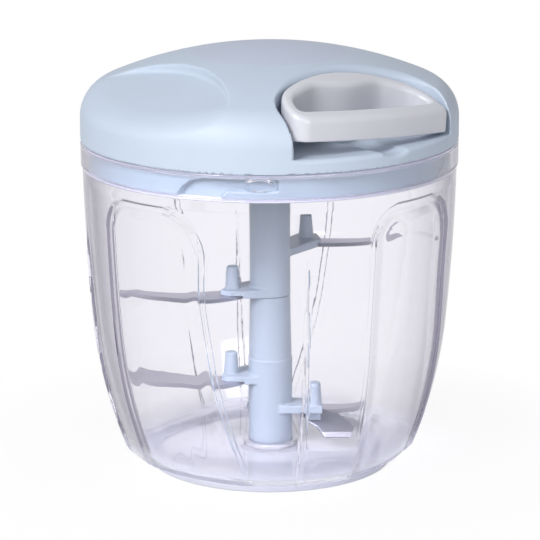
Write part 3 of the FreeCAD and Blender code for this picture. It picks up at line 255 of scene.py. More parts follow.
# %% The dome
CROWN_RADIUS = 146.0
CROWN_CENTRE = 0.8
SHOULDER_RADIUS = 13.5
LID_RADIUS = 65.1
SHOULDER_FOOT = 122.84
LID_FOOT = 115.05
LID_WALL = 2.4
ARCS_MEET = math.atan2(SHOULDER_FOOT - CROWN_CENTRE, LID_RADIUS - SHOULDER_RADIUS)


def dome(x, y, z):
    """The dome above its wall."""
    rho = np.hypot(x, y)
    crown = np.hypot(rho, z - CROWN_CENTRE) - CROWN_RADIUS
    shoulder = np.hypot(rho - LID_RADIUS + SHOULDER_RADIUS, z - SHOULDER_FOOT) - SHOULDER_RADIUS
    on_crown = (z - CROWN_CENTRE) * math.cos(ARCS_MEET) > rho * math.sin(ARCS_MEET)
    return np.where(on_crown, crown, np.where(z > SHOULDER_FOOT, shoulder, rho - LID_RADIUS))

# %% [markdown]
# The handle lies in a pocket, and both have the same D shape: a round back, two rounded corners and
# straight sides. Everything here is measured outward along the line of pull and sideways of it.

# %% The D shape
PULL_AZIMUTH = math.radians(38.5)
D_CENTRE = 92.1


def out_and_side(azimuth, x, y):
    """How far out a point lies along an azimuth, and how far to the right of it."""
    out = x * math.sin(azimuth) - y * math.cos(azimuth)
    side = x * math.cos(azimuth) + y * math.sin(azimuth)
    return out, side


def d_shape(out, side, back, half_width, corner):
    """The D outline, open outward, from the radius of its back, its half width and its corner radius."""
    side = np.abs(side)
    corner_side = half_width - corner
    corner_out = D_CENTRE - math.sqrt((back - corner) ** 2 - corner_side ** 2)
    toward_out = (corner_out - D_CENTRE) / (back - corner)
    toward_side = corner_side / (back - corner)
    past_out = out - corner_out
    past_side = side - corner_side
    in_corner = (past_out < 0) & (toward_out * past_side - toward_side * past_out < 0)
    straight = np.where(past_out >= 0, side - half_width, np.hypot(out - D_CENTRE, side) - back)
    return np.where(in_corner, np.hypot(past_out, past_side) - corner, straight)

# %% [markdown]
# The pocket's floor is a ledge just above the rim, with a shallow channel in it for a fingertip. Beside the
# pocket a round thumb dish slopes outward, so the other hand can hold the lid while pulling.

# %% The pocket, its channel and the thumb dish
LEDGE_TOP = 119.9
POCKET_BACK = 60.0
POCKET_HALF_WIDTH = 33.9
POCKET_CORNER = 14.0
POCKET_FILLET = 0.8
CHANNEL_WIDTH = 11.3
CHANNEL_DEPTH = 1.5
CHANNEL_FROM = 38.1
CHANNEL_CURVE = ((CHANNEL_WIDTH / 2) ** 2 + CHANNEL_DEPTH ** 2) / (2 * CHANNEL_DEPTH)
CHANNEL_END = 0.5
CHANNEL_EDGE = 0.3
DISH_AZIMUTH = math.radians(-51.5)
DISH_LIP = 32.6
DISH_CURVE = 58.0
DISH_LIP_FLOOR = 140.0
DISH_FALL = math.radians(19.9)
DISH_FILLET = 1.0
CORD_HEIGHT = 130.0
CORD_SIDE = 1.5
GUIDE_OUTER = 2.5


def pocket(x, y, z):
    """The space of the handle's pocket with the finger channel in its ledge."""
    out, side = out_and_side(PULL_AZIMUTH, x, y)
    outline = d_shape(out, side, POCKET_BACK, POCKET_HALF_WIDTH, POCKET_CORNER)
    space = both(outline, LEDGE_TOP - z, POCKET_FILLET)
    channel = np.hypot(side - CORD_SIDE, z - LEDGE_TOP + CHANNEL_DEPTH - CHANNEL_CURVE) - CHANNEL_CURVE
    return either(space, both(channel, CHANNEL_FROM - out, CHANNEL_END), CHANNEL_EDGE)


def thumb_dish(x, y, z):
    """The space of the thumb dish."""
    out, side = out_and_side(DISH_AZIMUTH, x, y)
    floor = DISH_LIP_FLOOR - (out - DISH_LIP) * math.tan(DISH_FALL)
    wall = np.hypot(out - DISH_LIP - DISH_CURVE, side) - DISH_CURVE
    return both(wall, (floor - z) * math.cos(DISH_FALL), DISH_FILLET)

# %% [markdown]
# The edges of the pocket and the dish aren't equally round. The pocket is crisp at its sides and softer at
# its back and along the ledge's front, and the dish runs out softly over the shoulder.

# %% The lid with its soft edges
CRISP_EDGE = 0.6
SOFTER_BACK = 2.0
SOFT_BACK_OUT = (47, 37)
SOFT_BACK_SIDE = (-27, -17)
SOFTER_FRONT = 0.9
SOFT_FRONT_HEIGHT = (LEDGE_TOP + 4, LEDGE_TOP + 1)
SOFT_FRONT_SIDE = (POCKET_HALF_WIDTH - 0.5, POCKET_HALF_WIDTH - 3.5)
SOFTER_DISH = 4.0
SOFT_DISH_OUT = (46, 58)
LID_FOOT_EDGE = 0.3


def lid_outside(x, y, z):
    """The lid's outside."""
    out, side = out_and_side(PULL_AZIMUTH, x, y)
    back = ramp(out, *SOFT_BACK_OUT) * ramp(side, *SOFT_BACK_SIDE)
    front = ramp(z, *SOFT_FRONT_HEIGHT) * ramp(np.abs(side), *SOFT_FRONT_SIDE)
    edge = CRISP_EDGE + SOFTER_BACK * back + SOFTER_FRONT * front * (1 - back)
    dish_out, _ = out_and_side(DISH_AZIMUTH, x, y)
    dish_edge = CRISP_EDGE + SOFTER_DISH * ramp(dish_out, *SOFT_DISH_OUT)
    return without(without(dome(x, y, z), pocket(x, y, z), edge), thumb_dish(x, y, z), dish_edge)


def lid_shell(x, y, z):
    """The lid as a shell of even wall with the cord's hole through the pocket's back."""
    outside = lid_outside(x, y, z)
    shell = np.maximum(outside, -(outside + LID_WALL))
    out, side = out_and_side(PULL_AZIMUTH, x, y)
    hole = np.maximum(np.hypot(side - CORD_SIDE, z - CORD_HEIGHT) - GUIDE_OUTER, -out)
    return both(np.maximum(shell, -hole), LID_FOOT - z, LID_FOOT_EDGE)

# %% [markdown]
# With the formula in hand the lid is one call. Its cells are 0.75 mm wide, and as each point ends up on the
# surface itself, edges hardly wider than a cell still read as round.

# %% The lid's cover
LID_STEP = 0.75
LID_REACH = LID_RADIUS + 1.2
LID_BOX_TOP = 148
lid_cover = skin("lid_dome", lid_shell, (-LID_REACH, -LID_REACH, LID_FOOT - 1),
                 (LID_REACH, LID_REACH, LID_BOX_TOP), LID_STEP, "lid")
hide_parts("lid_cover")

# %% [markdown]
# ## The pull handle
# The handle is a D ring. Its front bar is bowed like the lid's edge, its top slopes down toward that bar,
# and a low boss on its back wall hides the cord's knot. It lies tilted in the pocket, its left end propped
# up, so a finger can get under it.

# %% The handle
HANDLE_GAP = 0.9
HANDLE_HALF_WIDTH = 32.4
HANDLE_FRONT = 59.2
FRONT_CURVE = 133.0
FRONT_CORNERS = (4.5, 1.5)
HOLE_CORNER = 1.0
HANDLE_BAR = 4.2
HANDLE_FRONT_BAR = 5.2
HANDLE_FOOT = 120.8
HANDLE_BACK = 33.0
HANDLE_BACK_TALL = 19.2
HANDLE_FACE = 7.8
HANDLE_TILT = math.radians(4.1)
BOSS_CURVE = 18.0
BOSS_REACH = 7.4
BOSS_FILLET = 5.0
TOP_EDGE = 1.7
FOOT_EDGE = 0.5
KNOT_ROOM = 2.5
KNOT_WALL = 1.6
KNOT_EDGE = 0.2
CORD_BORE = 1.5


def level(side, z):
    """A point's place in the handle before the handle was tilted."""
    across = side - HANDLE_HALF_WIDTH
    up = z - HANDLE_FOOT
    return (HANDLE_HALF_WIDTH + across * math.cos(HANDLE_TILT) - up * math.sin(HANDLE_TILT),
            HANDLE_FOOT + across * math.sin(HANDLE_TILT) + up * math.cos(HANDLE_TILT))


KNOT_SIDE, KNOT_HEIGHT = level(CORD_SIDE, CORD_HEIGHT)
KNOT_OUT = HANDLE_BACK + BOSS_REACH - KNOT_ROOM - KNOT_WALL


def handle_form(x, y, z):
    """The handle as it lies in its pocket."""
    out, side = out_and_side(PULL_AZIMUTH, x, y)
    side, z = level(side, z)
    from_bow = np.hypot(out - HANDLE_FRONT + FRONT_CURVE, side) - FRONT_CURVE
    outer = d_shape(out, side, POCKET_BACK - HANDLE_GAP, HANDLE_HALF_WIDTH, POCKET_CORNER - HANDLE_GAP)
    outer = both(outer, from_bow, np.where(side < 0, *FRONT_CORNERS))
    inset = HANDLE_GAP + HANDLE_BAR
    hole_width = HANDLE_HALF_WIDTH - HANDLE_BAR
    finger_hole = d_shape(out, side, POCKET_BACK - inset, hole_width, POCKET_CORNER - inset)
    hole_bow = np.hypot(out - HANDLE_FRONT + HANDLE_FRONT_BAR + FRONT_CURVE, side) - FRONT_CURVE
    finger_hole = both(finger_hole, hole_bow, HOLE_CORNER)
    boss = np.hypot(out - HANDLE_BACK - BOSS_REACH + BOSS_CURVE, side - KNOT_SIDE) - BOSS_CURVE
    ring = np.maximum(outer, either(-finger_hole, boss, BOSS_FILLET))
    fall = (HANDLE_BACK_TALL - HANDLE_FACE) / (HANDLE_FRONT - HANDLE_BACK)
    top = (z - HANDLE_FOOT - HANDLE_FACE + from_bow * fall) / math.hypot(1, fall)
    body = both(both(ring, top, TOP_EDGE), HANDLE_FOOT - z, FOOT_EDGE)
    knot_room = np.hypot(out - KNOT_OUT, side - KNOT_SIDE) - KNOT_ROOM
    knot_room = both(knot_room, z - KNOT_HEIGHT - KNOT_ROOM, KNOT_EDGE)
    bore = np.maximum(np.hypot(side - KNOT_SIDE, z - KNOT_HEIGHT) - CORD_BORE, out - KNOT_OUT)
    return np.maximum(body, -np.minimum(knot_room, bore))


HANDLE_STEP = 0.5
HANDLE_BOX_TOP = 146
HANDLE_CORNERS = ((24, 66, 66, 24), (-62, -34, 34, 62))
handle_reach = round_about(HANDLE_CORNERS[0], PULL_AZIMUTH + np.radians(HANDLE_CORNERS[1]), 0)
handle_low = (*(handle_reach.min(axis=0) - 3)[:2], HANDLE_FOOT - 1.5)
handle_high = (*(handle_reach.max(axis=0) + 3)[:2], HANDLE_BOX_TOP)
handle = skin("pull_handle", handle_form, handle_low, handle_high, HANDLE_STEP, "handle")
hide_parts("handle")

# %% [markdown]
# ## The clear bowl's wall
# The wall swells from the foot to the belly and then rises almost straight to the band at the mouth. Two
# circles through three stations each give its radius at any height.

# %% The barrel
HEEL = (50.3, 6.1)
LOW = (57.2, 27.5)
BELLY = (61.0, 47.9)
HIGH = (63.2, 73.9)
TOP = (64.4, 100.0)
BOWL_WALL = 2.4
BOWL_UNDERSIDE = 2.2
BAND_FOOT = 106.8
BAND_STEP = ((TOP[1], 105.9, 106.3, BAND_FOOT), (TOP[0], 64.55, 64.7, LID_RADIUS))
MOUTH_RADIUS = 62.6
RIM_TOP = 115.0


def circle_through(first, second, third):
    """The centre and the radius of the circle through three points of a section."""
    (r1, z1), (r2, z2), (r3, z3) = first, second, third
    d = 2 * (r1 * (z2 - z3) + r2 * (z3 - z1) + r3 * (z1 - z2))
    q1, q2, q3 = r1 * r1 + z1 * z1, r2 * r2 + z2 * z2, r3 * r3 + z3 * z3
    centre_r = (q1 * (z2 - z3) + q2 * (z3 - z1) + q3 * (z1 - z2)) / d
    centre_z = (q1 * (r3 - r2) + q2 * (r1 - r3) + q3 * (r2 - r1)) / d
    return centre_r, centre_z, math.hypot(r1 - centre_r, z1 - centre_z)


def on_circle(stations, z):
    """The radius at a height on the circle through three stations."""
    centre_r, centre_z, size = circle_through(*stations)
    return centre_r + np.sqrt(size ** 2 - (z - centre_z) ** 2)


def barrel(z):
    """The radius of the wall's outer face at a height."""
    low = on_circle((HEEL, LOW, BELLY), np.minimum(z, BELLY[1]))
    high = on_circle((BELLY, HIGH, TOP), np.clip(z, BELLY[1], TOP[1]))
    band = np.interp(z, *BAND_STEP)
    return np.where(z < BELLY[1], low, np.where(z < TOP[1], high, band))

# %% [markdown]
# Four arched panels are pressed into the wall. Each border leans a little as it runs down, and the arch has
# a wider corner on its right. The border is a double step, and inside it the panel bulges inward to its
# middle.

# %% The arched panels
PANEL_AZIMUTH = 51.0
PANEL_LEFT = ((3.5, 32.0, 61.0, 88.0), (-19.8, -19.9, -20.1, -19.6))
PANEL_RIGHT = ((3.5, 22.0, 28.3, 41.5, 72.0, 88.0), (32.8, 27.0, 25.4, 22.6, 19.0, 19.6))
ARCH_TOP = 102.2
ARCH_CORNERS = (12.5, 17.0)
PANEL_BULGE = ((-6.0, 6.0, 30.0, 48.0, 80.0, 92.0, 98.0), (2.8, 2.4, 1.3, 0.8, 0.6, 0.3, -0.3))
LEAST_BULGE = 0.25
BORDER_STEPS = ((0.0, 0.7), (2.4, 0.6))
STEP_WIDE = 0.5
BULGE_REACH = 21.0


def border_turn(border, z, reach=6.0):
    """A border's azimuth at a height, in degrees from the panel's middle, with soft bends."""
    near = [np.interp(z + shift, *border) for shift in np.linspace(-reach, reach, 7)]
    return np.mean(near, axis=0)


def inside_panel(turn, z):
    """How far inside a panel's border a place lies, from its azimuth in degrees off the panel's middle."""
    length = np.radians(1) * barrel(z)
    past_sides = np.maximum(turn - border_turn(PANEL_RIGHT, z), border_turn(PANEL_LEFT, z) - turn) * length
    corner = np.where(turn < 0, ARCH_CORNERS[0], ARCH_CORNERS[1])
    return -both(past_sides, z - ARCH_TOP, corner)


def panel_bulge(z):
    """How far a panel's middle stands inward of its border at a height."""
    return np.maximum(np.interp(z, *PANEL_BULGE), LEAST_BULGE)


def panel_sink(inside, z):
    """How deep the panel's face is pressed in."""
    steps = sum(depth * smooth_step((inside - start) / STEP_WIDE) for start, depth in BORDER_STEPS)
    return steps + panel_bulge(z) * (1 - (1 - ramp(inside, 0, BULGE_REACH)) ** 2)

# %% [markdown]
# The bowl is one grid. Its rows follow a section of the wall, up the outside and down the inside, and its
# columns go round. They bend with the panel borders, so that each border falls on a line of the grid and
# stays crisp. Thin ribs stand on the plain part between the panels.

# %% Columns that follow the borders
RIB_AZIMUTH = 11.3
RIB_TOP = 87.0
RIB_FOOT_WIDE = 2.6
RIB_HIGH = 0.85
RIB_EDGE = 0.4
RIB_FADE = 12
RIB_TURN = RIB_AZIMUTH + 90 - PANEL_AZIMUTH


def spaced(length, fine_start, fine_end, fine=0.45, coarse=1.0):
    """Places from 0 to 1 along a length, closer together at either end."""
    start = np.arange(fine_start) * fine
    end = length - np.arange(fine_end, 0, -1) * fine
    first = fine_start * fine
    last = length - fine_end * fine
    middle = np.linspace(first, last, max(round((last - first) / coarse), 1), endpoint=False)
    return np.concatenate([start, middle, end]) / length


PANEL_COLUMNS = spaced(45, 8, 8, coarse=1.12)
RIGHT_RUNS = ((0, 12, 3, 0, 1.1), (12, 13, 0, 0, 0.42), (25, 9, 0, 5, 1.0))
RIGHT_LENGTH = 34
RIGHT_COLUMNS = np.concatenate([
    start + spaced(length, fine_start, fine_end, coarse=coarse) * length
    for start, length, fine_start, fine_end, coarse in RIGHT_RUNS]) / RIGHT_LENGTH
LEFT_COLUMNS = spaced(21, 5, 3, coarse=1.4)


def column_turns(z):
    """The azimuths of all columns at some heights, in degrees from the first panel's middle."""
    left = border_turn(PANEL_LEFT, z)[:, None]
    right = border_turn(PANEL_RIGHT, z)[:, None]
    panel = left + (right - left) * PANEL_COLUMNS
    to_rib = right + (RIB_TURN - right) * RIGHT_COLUMNS
    from_rib = RIB_TURN + (90 + left - RIB_TURN) * LEFT_COLUMNS
    quarter = np.concatenate([panel, to_rib, from_rib], axis=1)
    return np.concatenate([quarter + turn for turn in (0, 90, 180, 270)], axis=1)


print("columns round the bowl:", column_turns(np.array([50.0])).shape[1])

# %% [markdown]
# The outer face is the barrel less the panels plus the ribs. The inner face stands a wall's width further
# in and follows the panels with one wide, soft rise, so only the outer borders draw lines in the clear
# wall. Four oval lugs stand inside the mouth for the lid's grooves.

# %% Outer and inner faces of the bowl
INNER_START = 0.5
INNER_WIDE = 8.0
LUG_TURN = -3.05 - PANEL_AZIMUTH
LUG_MIDDLE = 111.2
LUG_LENGTH = 8.8
LUG_TALL = 4.2
LUG_STANDS = 1.6
LUG_EDGE = 1.6


def from_middle(turn, middle):
    """An azimuth in degrees from the nearest of four middles a quarter turn apart."""
    return (turn - middle + 45) % 90 - 45


def outer_radius(turn, z, limit):
    """The bowl's outer face, never wider than the section's own radius there."""
    sink = panel_sink(inside_panel(from_middle(turn, 0), z), z)
    off_rib = np.abs(from_middle(turn, RIB_TURN)) * np.radians(1) * barrel(z)
    half = RIB_FOOT_WIDE / 2 * ramp(z, RIB_TOP, HEEL[1])
    rib = RIB_HIGH * smooth_step((half - off_rib) / RIB_EDGE + 0.5) * ramp(z, RIB_TOP, RIB_TOP - RIB_FADE)
    rib = rib * (half > 0)
    return np.minimum(limit + rib, barrel(z) + rib - sink)


def inner_radius(turn, z, limit):
    """The bowl's inner face, with the panels standing in."""
    inside = inside_panel(from_middle(turn, 0), z)
    rise = smooth_step((inside - INNER_START) / INNER_WIDE)
    sink = rise + panel_bulge(z) * smooth_step(inside / BULGE_REACH)
    return np.minimum(limit, barrel(z) - BOWL_WALL - sink)


def mouth_face(turn, z, radius):
    """The mouth's inner face with its lugs."""
    off = from_middle(turn, LUG_TURN) * np.radians(1) * radius
    oval = (np.hypot(off / (LUG_LENGTH / 2), (z - LUG_MIDDLE) / (LUG_TALL / 2)) - 1) * LUG_TALL / 2
    return radius - LUG_STANDS * smooth_step(0.5 - oval / LUG_EDGE)

# %% [markdown]
# The section is a list of stations. Those of the outer wall, the inner wall and the mouth take their radius
# from the formulas above, and the rest are plain rings: the foot's seat, the floor, its collar and the
# post.

# %% The section from the underside, up the outside, over the rim and down to the floor
SEAT_INNER = 36.45
SEAT_TOP = 3.05
HEEL_FOOT = (44.0, 3.3)
HEEL_MIDDLE = (48.3, 4.2)
SEAL_STEP = 105.6
FLOOR_TOP = 5.0
FLOOR_CORNER = 6.0
COLLAR_INNER = 7.6
COLLAR_OUTER = 9.6
COLLAR_TOP = 6.6
POST_RADIUS = 4.5
POST_TOP = 11.0
PIN_BORE = 2.53
PIN_FOOT = 3.38
CUT = 0.2
NO_LIMIT = 99


def arc_points(start, middle, end, count):
    """Points on the circle through three points of a section."""
    r, z, size = circle_through(start, middle, end)
    first = math.atan2(start[1] - z, start[0] - r)
    last = math.atan2(end[1] - z, end[0] - r)
    return [(r + size * math.cos(t), z + size * math.sin(t)) for t in np.linspace(first, last, count)]


def stations(kind, points):
    """Section points with the kind of face they lie on."""
    return [(kind, radius, height) for radius, height in points]


def upright_stations(kind, radius, *runs):
    """Stations at one radius and at the heights of some runs."""
    return stations(kind, [(radius, z) for z in np.concatenate(runs)])


floor_low = FLOOR_TOP + FLOOR_CORNER
low_radius = float(on_circle((HEEL, LOW, BELLY), floor_low)) - BOWL_WALL
floor_bend = (low_radius - FLOOR_CORNER * 0.3, FLOOR_TOP + FLOOR_CORNER * 0.25)
floor_end = (low_radius - FLOOR_CORNER, FLOOR_TOP)

section = stations("ring", [(12, BOWL_UNDERSIDE), (36.2, BOWL_UNDERSIDE), (36.4, 2.25), (SEAT_INNER, 2.4),
                            (SEAT_INNER, SEAT_TOP), (39.5, SEAT_TOP), (42.8, SEAT_TOP)])
section += stations("outer", arc_points(HEEL_FOOT, HEEL_MIDDLE, HEEL, 8))
section += upright_stations("outer", NO_LIMIT, np.arange(7.6, 90, 1.8), np.arange(90.4, 103.2, 0.7),
                            (104.0, 105.3, 105.9, 106.3, 106.7))
section += upright_stations("ring", LID_RADIUS, (106.85, 107.4, 110.5, 113.6, 113.95))
section += stations("ring", [(64.85, 114.1), (64.85, 114.6), (64.6, 114.9), (64.2, RIM_TOP), (63.1, RIM_TOP),
                             (62.75, 114.9)])
section += upright_stations("mouth", MOUTH_RADIUS, [114.5], np.arange(113.9, 108.3, -0.35))
section += upright_stations("ring", MOUTH_RADIUS, (107.4, 106.0))
section += stations("ring", [(62.55, 105.65), (62.4, SEAL_STEP), (61.9, SEAL_STEP), (61.72, 105.5),
                             (61.75, 104.5)])
section += upright_stations("inner", NO_LIMIT, np.arange(102.5, 88, -1.0), np.arange(87, 12.5, -2.6))
section += stations("inner", arc_points((low_radius, floor_low), floor_bend, floor_end, 7))
section += stations("ring", [
    (30, FLOOR_TOP), (14, FLOOR_TOP), (9.9, FLOOR_TOP), (COLLAR_OUTER, FLOOR_TOP + CUT),
    (COLLAR_OUTER, COLLAR_TOP - CUT), (COLLAR_OUTER - CUT, COLLAR_TOP), (COLLAR_INNER + CUT, COLLAR_TOP),
    (COLLAR_INNER, COLLAR_TOP - CUT), (COLLAR_INNER, 5.1), (COLLAR_INNER - CUT, FLOOR_TOP), (4.8, FLOOR_TOP),
    (POST_RADIUS, FLOOR_TOP + CUT), (POST_RADIUS, POST_TOP - CUT), (POST_RADIUS - CUT, POST_TOP),
    (2.8, POST_TOP), (PIN_BORE, POST_TOP - CUT), (PIN_BORE, PIN_FOOT)])
print("rows in the bowl's section:", len(section))

# %% [markdown]
# The grid's first and last rows close on one point each on the axis, so the wall is watertight and light
# bends correctly on its way in and out.

# %% The bowl's mesh
FORMULAS = {"outer": outer_radius, "inner": inner_radius, "mouth": mouth_face}
heights = np.array([height for _, _, height in section])
turns = column_turns(heights)
rows, columns = turns.shape
radii = np.zeros(turns.shape)
for row, (kind, radius, height) in enumerate(section):
    if kind == "ring":
        radii[row] = radius
    else:
        radii[row] = FORMULAS[kind](turns[row], np.full(columns, height), radius)
points = round_about(radii, np.radians(turns + PANEL_AZIMUTH), heights[:, None])
under, over = len(points), len(points) + 1
points = np.concatenate([points, [(0, 0, BOWL_UNDERSIDE), (0, 0, PIN_FOOT)]])
faces = grid_faces(rows, columns).tolist()
last_row = (rows - 1) * columns
for column in range(columns):
    beside = (column + 1) % columns
    faces.append((under, beside, column))
    faces.append((over, last_row + column, last_row + beside))
bowl = piece("bowl_wall", points, faces, "bowl", crease=50)
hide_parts("bowl")

# %% [markdown]
# ## The soft foot and the seals
# A milky silicone ring keeps the bowl from sliding. A flat ring of the same kind seals the mouth under the
# lid, and a small one closes round the drive.

# %% Foot ring, lid seal and hub seal
def block(inner, outer, bottom, top, radius):
    """A ring's outline with rounded corners, from its two radii and its two heights."""
    return rounded([(inner, bottom), (outer, bottom), (outer, top), (inner, top)], radius)


foot = turned("soft_foot_ring", block(36.5, 42.6, 0.05, 3.0, 0.5), "bowl", columns=240)
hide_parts("foot_ring")
seal = turned("mouth_seal", block(57.6, 62.38, 105.68, 106.72, 0.3), "seal", columns=240)
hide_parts("lid_seal")
hub = turned("hub_lip_seal", block(8.6, 11.98, 106.82, 107.98, 0.25), "lid", columns=96)
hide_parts("hub_seal")

# %% [markdown]
# ## The lid's skirt
# Below the lid a skirt reaches into the mouth, and four L-shaped grooves in it take the bowl's lugs. The
# groove is drawn flat, as a shape in degrees round and millimetres up, and pressed into the skirt's face.

# %% A distance to a flat outline
def to_outline(x, y, corners):
    """Distance to a flat many-cornered shape, below zero inside it."""
    x, y = np.broadcast_arrays(x, y)
    nearest = np.full(x.shape, np.inf)
    inside = np.zeros(x.shape, bool)
    for (ax, ay), (bx, by) in zip(corners, corners[1:] + corners[:1]):
        ex, ey = bx - ax, by - ay
        part = np.clip(((x - ax) * ex + (y - ay) * ey) / (ex * ex + ey * ey), 0, 1)
        nearest = np.minimum(nearest, np.hypot(x - ax - part * ex, y - ay - part * ey))
        if ay != by:
            inside ^= ((ay > y) != (by > y)) & (x < (bx - ax) * (y - ay) / (by - ay) + ax)
    return np.where(inside, -nearest, nearest)

# %% [markdown]
# The skirt's grid is fine enough, at half a millimetre, for the groove's corners to read through the clear
# band.

# %% The skirt with its bayonet grooves
SKIRT_RADIUS = 62.3
SKIRT_WALL = 3.0
SKIRT_TOP = 117.0
SKIRT_COLUMNS = 780
GROOVE_DEPTH = 2.15
GROOVE_EDGE = 0.35
GROOVE_MIDDLE = -13
GROOVE_SHAPE = [(-28.3, 105.5), (-28.2, 107.2), (-26.6, 109.8), (-24.0, 111.8), (-19.8, 113.0), (1.9, 113.0),
                (2.3, 112.6), (2.3, 109.5), (2.0, 109.2), (-12.6, 109.2), (-14.6, 107.0), (-14.8, 105.5)]


def skirt_radius(azimuth, z):
    """The skirt's outer face with the grooves pressed in."""
    off = from_middle(azimuth, GROOVE_MIDDLE) + GROOVE_MIDDLE
    length = math.radians(1) * SKIRT_RADIUS
    shape = [(turn * length, height) for turn, height in GROOVE_SHAPE]
    return SKIRT_RADIUS - GROOVE_DEPTH * smooth_step(0.5 - to_outline(off * length, z, shape) / GROOVE_EDGE)


skirt_turns = np.linspace(0, 360, SKIRT_COLUMNS, endpoint=False)
skirt_heights = np.concatenate([[106.85, 107.0], np.arange(107.3, 113.8, 0.3), [114.4, 115.5, 116.7]])
skirt_radii = skirt_radius(skirt_turns, skirt_heights[:, None])
inner = SKIRT_RADIUS - SKIRT_WALL
rim_rows = [(SKIRT_RADIUS - 0.1, 116.95), (SKIRT_RADIUS - 0.4, SKIRT_TOP), (inner + 0.3, SKIRT_TOP),
            (inner, 116.8), (inner, 112.0), (inner, 109.05), (inner, 106.95), (inner + 0.2, BAND_FOOT)]
rim_radii = np.repeat([[radius] for radius, _ in rim_rows], SKIRT_COLUMNS, axis=1)
all_radii = np.concatenate([skirt_radii, rim_radii])
all_heights = np.concatenate([skirt_heights, [height for _, height in rim_rows]])[:, None]
skirt_points = round_about(all_radii, np.radians(skirt_turns), all_heights)
skirt_faces = grid_faces(len(all_heights), SKIRT_COLUMNS, ring=True)
skirt = piece("lid_skirt", skirt_points, skirt_faces, "lid", crease=50)

# %% [markdown]
# Inside the skirt a thin plate carries the spring's case on three posts and lets the drive through its
# middle. It shows from below once the lid is lifted, with four screw heads sunk into it.

# %% The lid's inner plate
PLATE_TOP = 109.0
PLATE_REACH = 60.4
HUB_OPENING = 9.2
HUB_SEAL_SEAT = 12.0
HUB_SEAL_DEEP = 1.2
SCREW_CIRCLE = 52.0
SCREW_AZIMUTH = -3.0
SCREW_HEAD = 2.85
SCREW_SEAT = 1.6
EAR_AZIMUTHS = (100, 220, 340)
EAR_CIRCLE = 31.0
EAR_ROUND = 3.2
EAR_FOOT = 112.0
EAR_FILLET = 0.5
PLATE_EDGE = 0.2


def upright(x, y, radius, azimuth, size):
    """An upright round bar that stands at an azimuth in degrees and a radius."""
    angle = math.radians(azimuth)
    return np.hypot(x - radius * math.sin(angle), y + radius * math.cos(angle)) - size


def plate_form(x, y, z):
    """The plate with its posts, its opening and the seats of the screw heads and the seal."""
    rho = np.hypot(x, y)
    form = both(rho - SKIRT_RADIUS + SKIRT_WALL + 0.1, np.maximum(z - PLATE_TOP, BAND_FOOT - z), PLATE_EDGE)
    for azimuth in EAR_AZIMUTHS:
        post = upright(x, y, EAR_CIRCLE, azimuth, EAR_ROUND)
        post = both(post, np.maximum(z - EAR_FOOT, BAND_FOOT + 1 - z), PLATE_EDGE)
        form = either(form, post, EAR_FILLET)
    form = without(form, rho - HUB_OPENING + 0 * z, 0.3)
    form = without(form, np.maximum(rho - HUB_SEAL_SEAT, z - BAND_FOOT - HUB_SEAL_DEEP), 0.1)
    for turn in (0, 90, 180, 270):
        head = upright(x, y, SCREW_CIRCLE, SCREW_AZIMUTH + turn, SCREW_HEAD)
        form = without(form, np.maximum(head, z - BAND_FOOT - SCREW_SEAT), PLATE_EDGE)
    return form


plate = skin("lid_plate", plate_form, (-PLATE_REACH, -PLATE_REACH, BAND_FOOT - 0.7),
             (PLATE_REACH, PLATE_REACH, EAR_FOOT + 0.8), 0.8, "lid")
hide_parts("lid_base")
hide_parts("lid_base")

# %% [markdown]
# ## The blade column
# The column comes in two halves: a lower one with three arms and a narrower neck, and a sleeve over it with
# two. Each arm grips a blade and carries a tapered peg that lifts food off the blade below.

# %% Blade outlines
BLADE_THICK = 0.9
HIGH_ARM, SIDE_ARM, LOW_ARM, SCOOP_ARM, REAR_ARM = 71.7, 59.2, 27.9, 17.6, 13.4
HIGH_BLADE = ([(11.5, 17.5), (21.0, 17.0), (33.0, 18.5), (42.0, 24.0), (48.5, 31.0)],
              [(12.5, 27.0), (21.0, 26.5), (31.0, 26.5), (39.5, 29.0), (45.8, 34.2)])
SIDE_BLADE = ([(-9.0, -7.0), (-19.0, -13.4), (-29.0, -13.6), (-41.6, -8.0), (-51.2, 0.2)],
              [(-9.0, 0.5), (-18.5, 0.6), (-27.0, -2.0), (-38.0, -1.4), (-46.0, 3.4)])
LOW_BLADE = ([(-9.0, -6.0), (-19.3, -12.6), (-31.5, -10.4), (-42.0, -4.6), (-49.9, 10.0)],
             [(-9.0, 2.0), (-21.7, 1.9), (-32.0, 3.6), (-39.5, 9.6), (-45.6, 15.6)])
REAR_BLADE = ([(3.0, 9.0), (16.0, 6.6), (26.0, 7.4), (33.5, 11.0), (38.5, 16.5)],
              [(-9.5, 12.5), (8.0, 17.5), (19.0, 15.5), (29.0, 15.8), (36.0, 19.6)])
SCOOP_SHAPE = [(12.2, 3.0), (18.6, 2.2), (24.0, 0.4), (28.3, -3.6), (29.4, -6.0), (28.1, -8.4), (23.1, -9.6),
               (19.1, -8.7), (16.3, -4.8), (12.2, -2.0)]


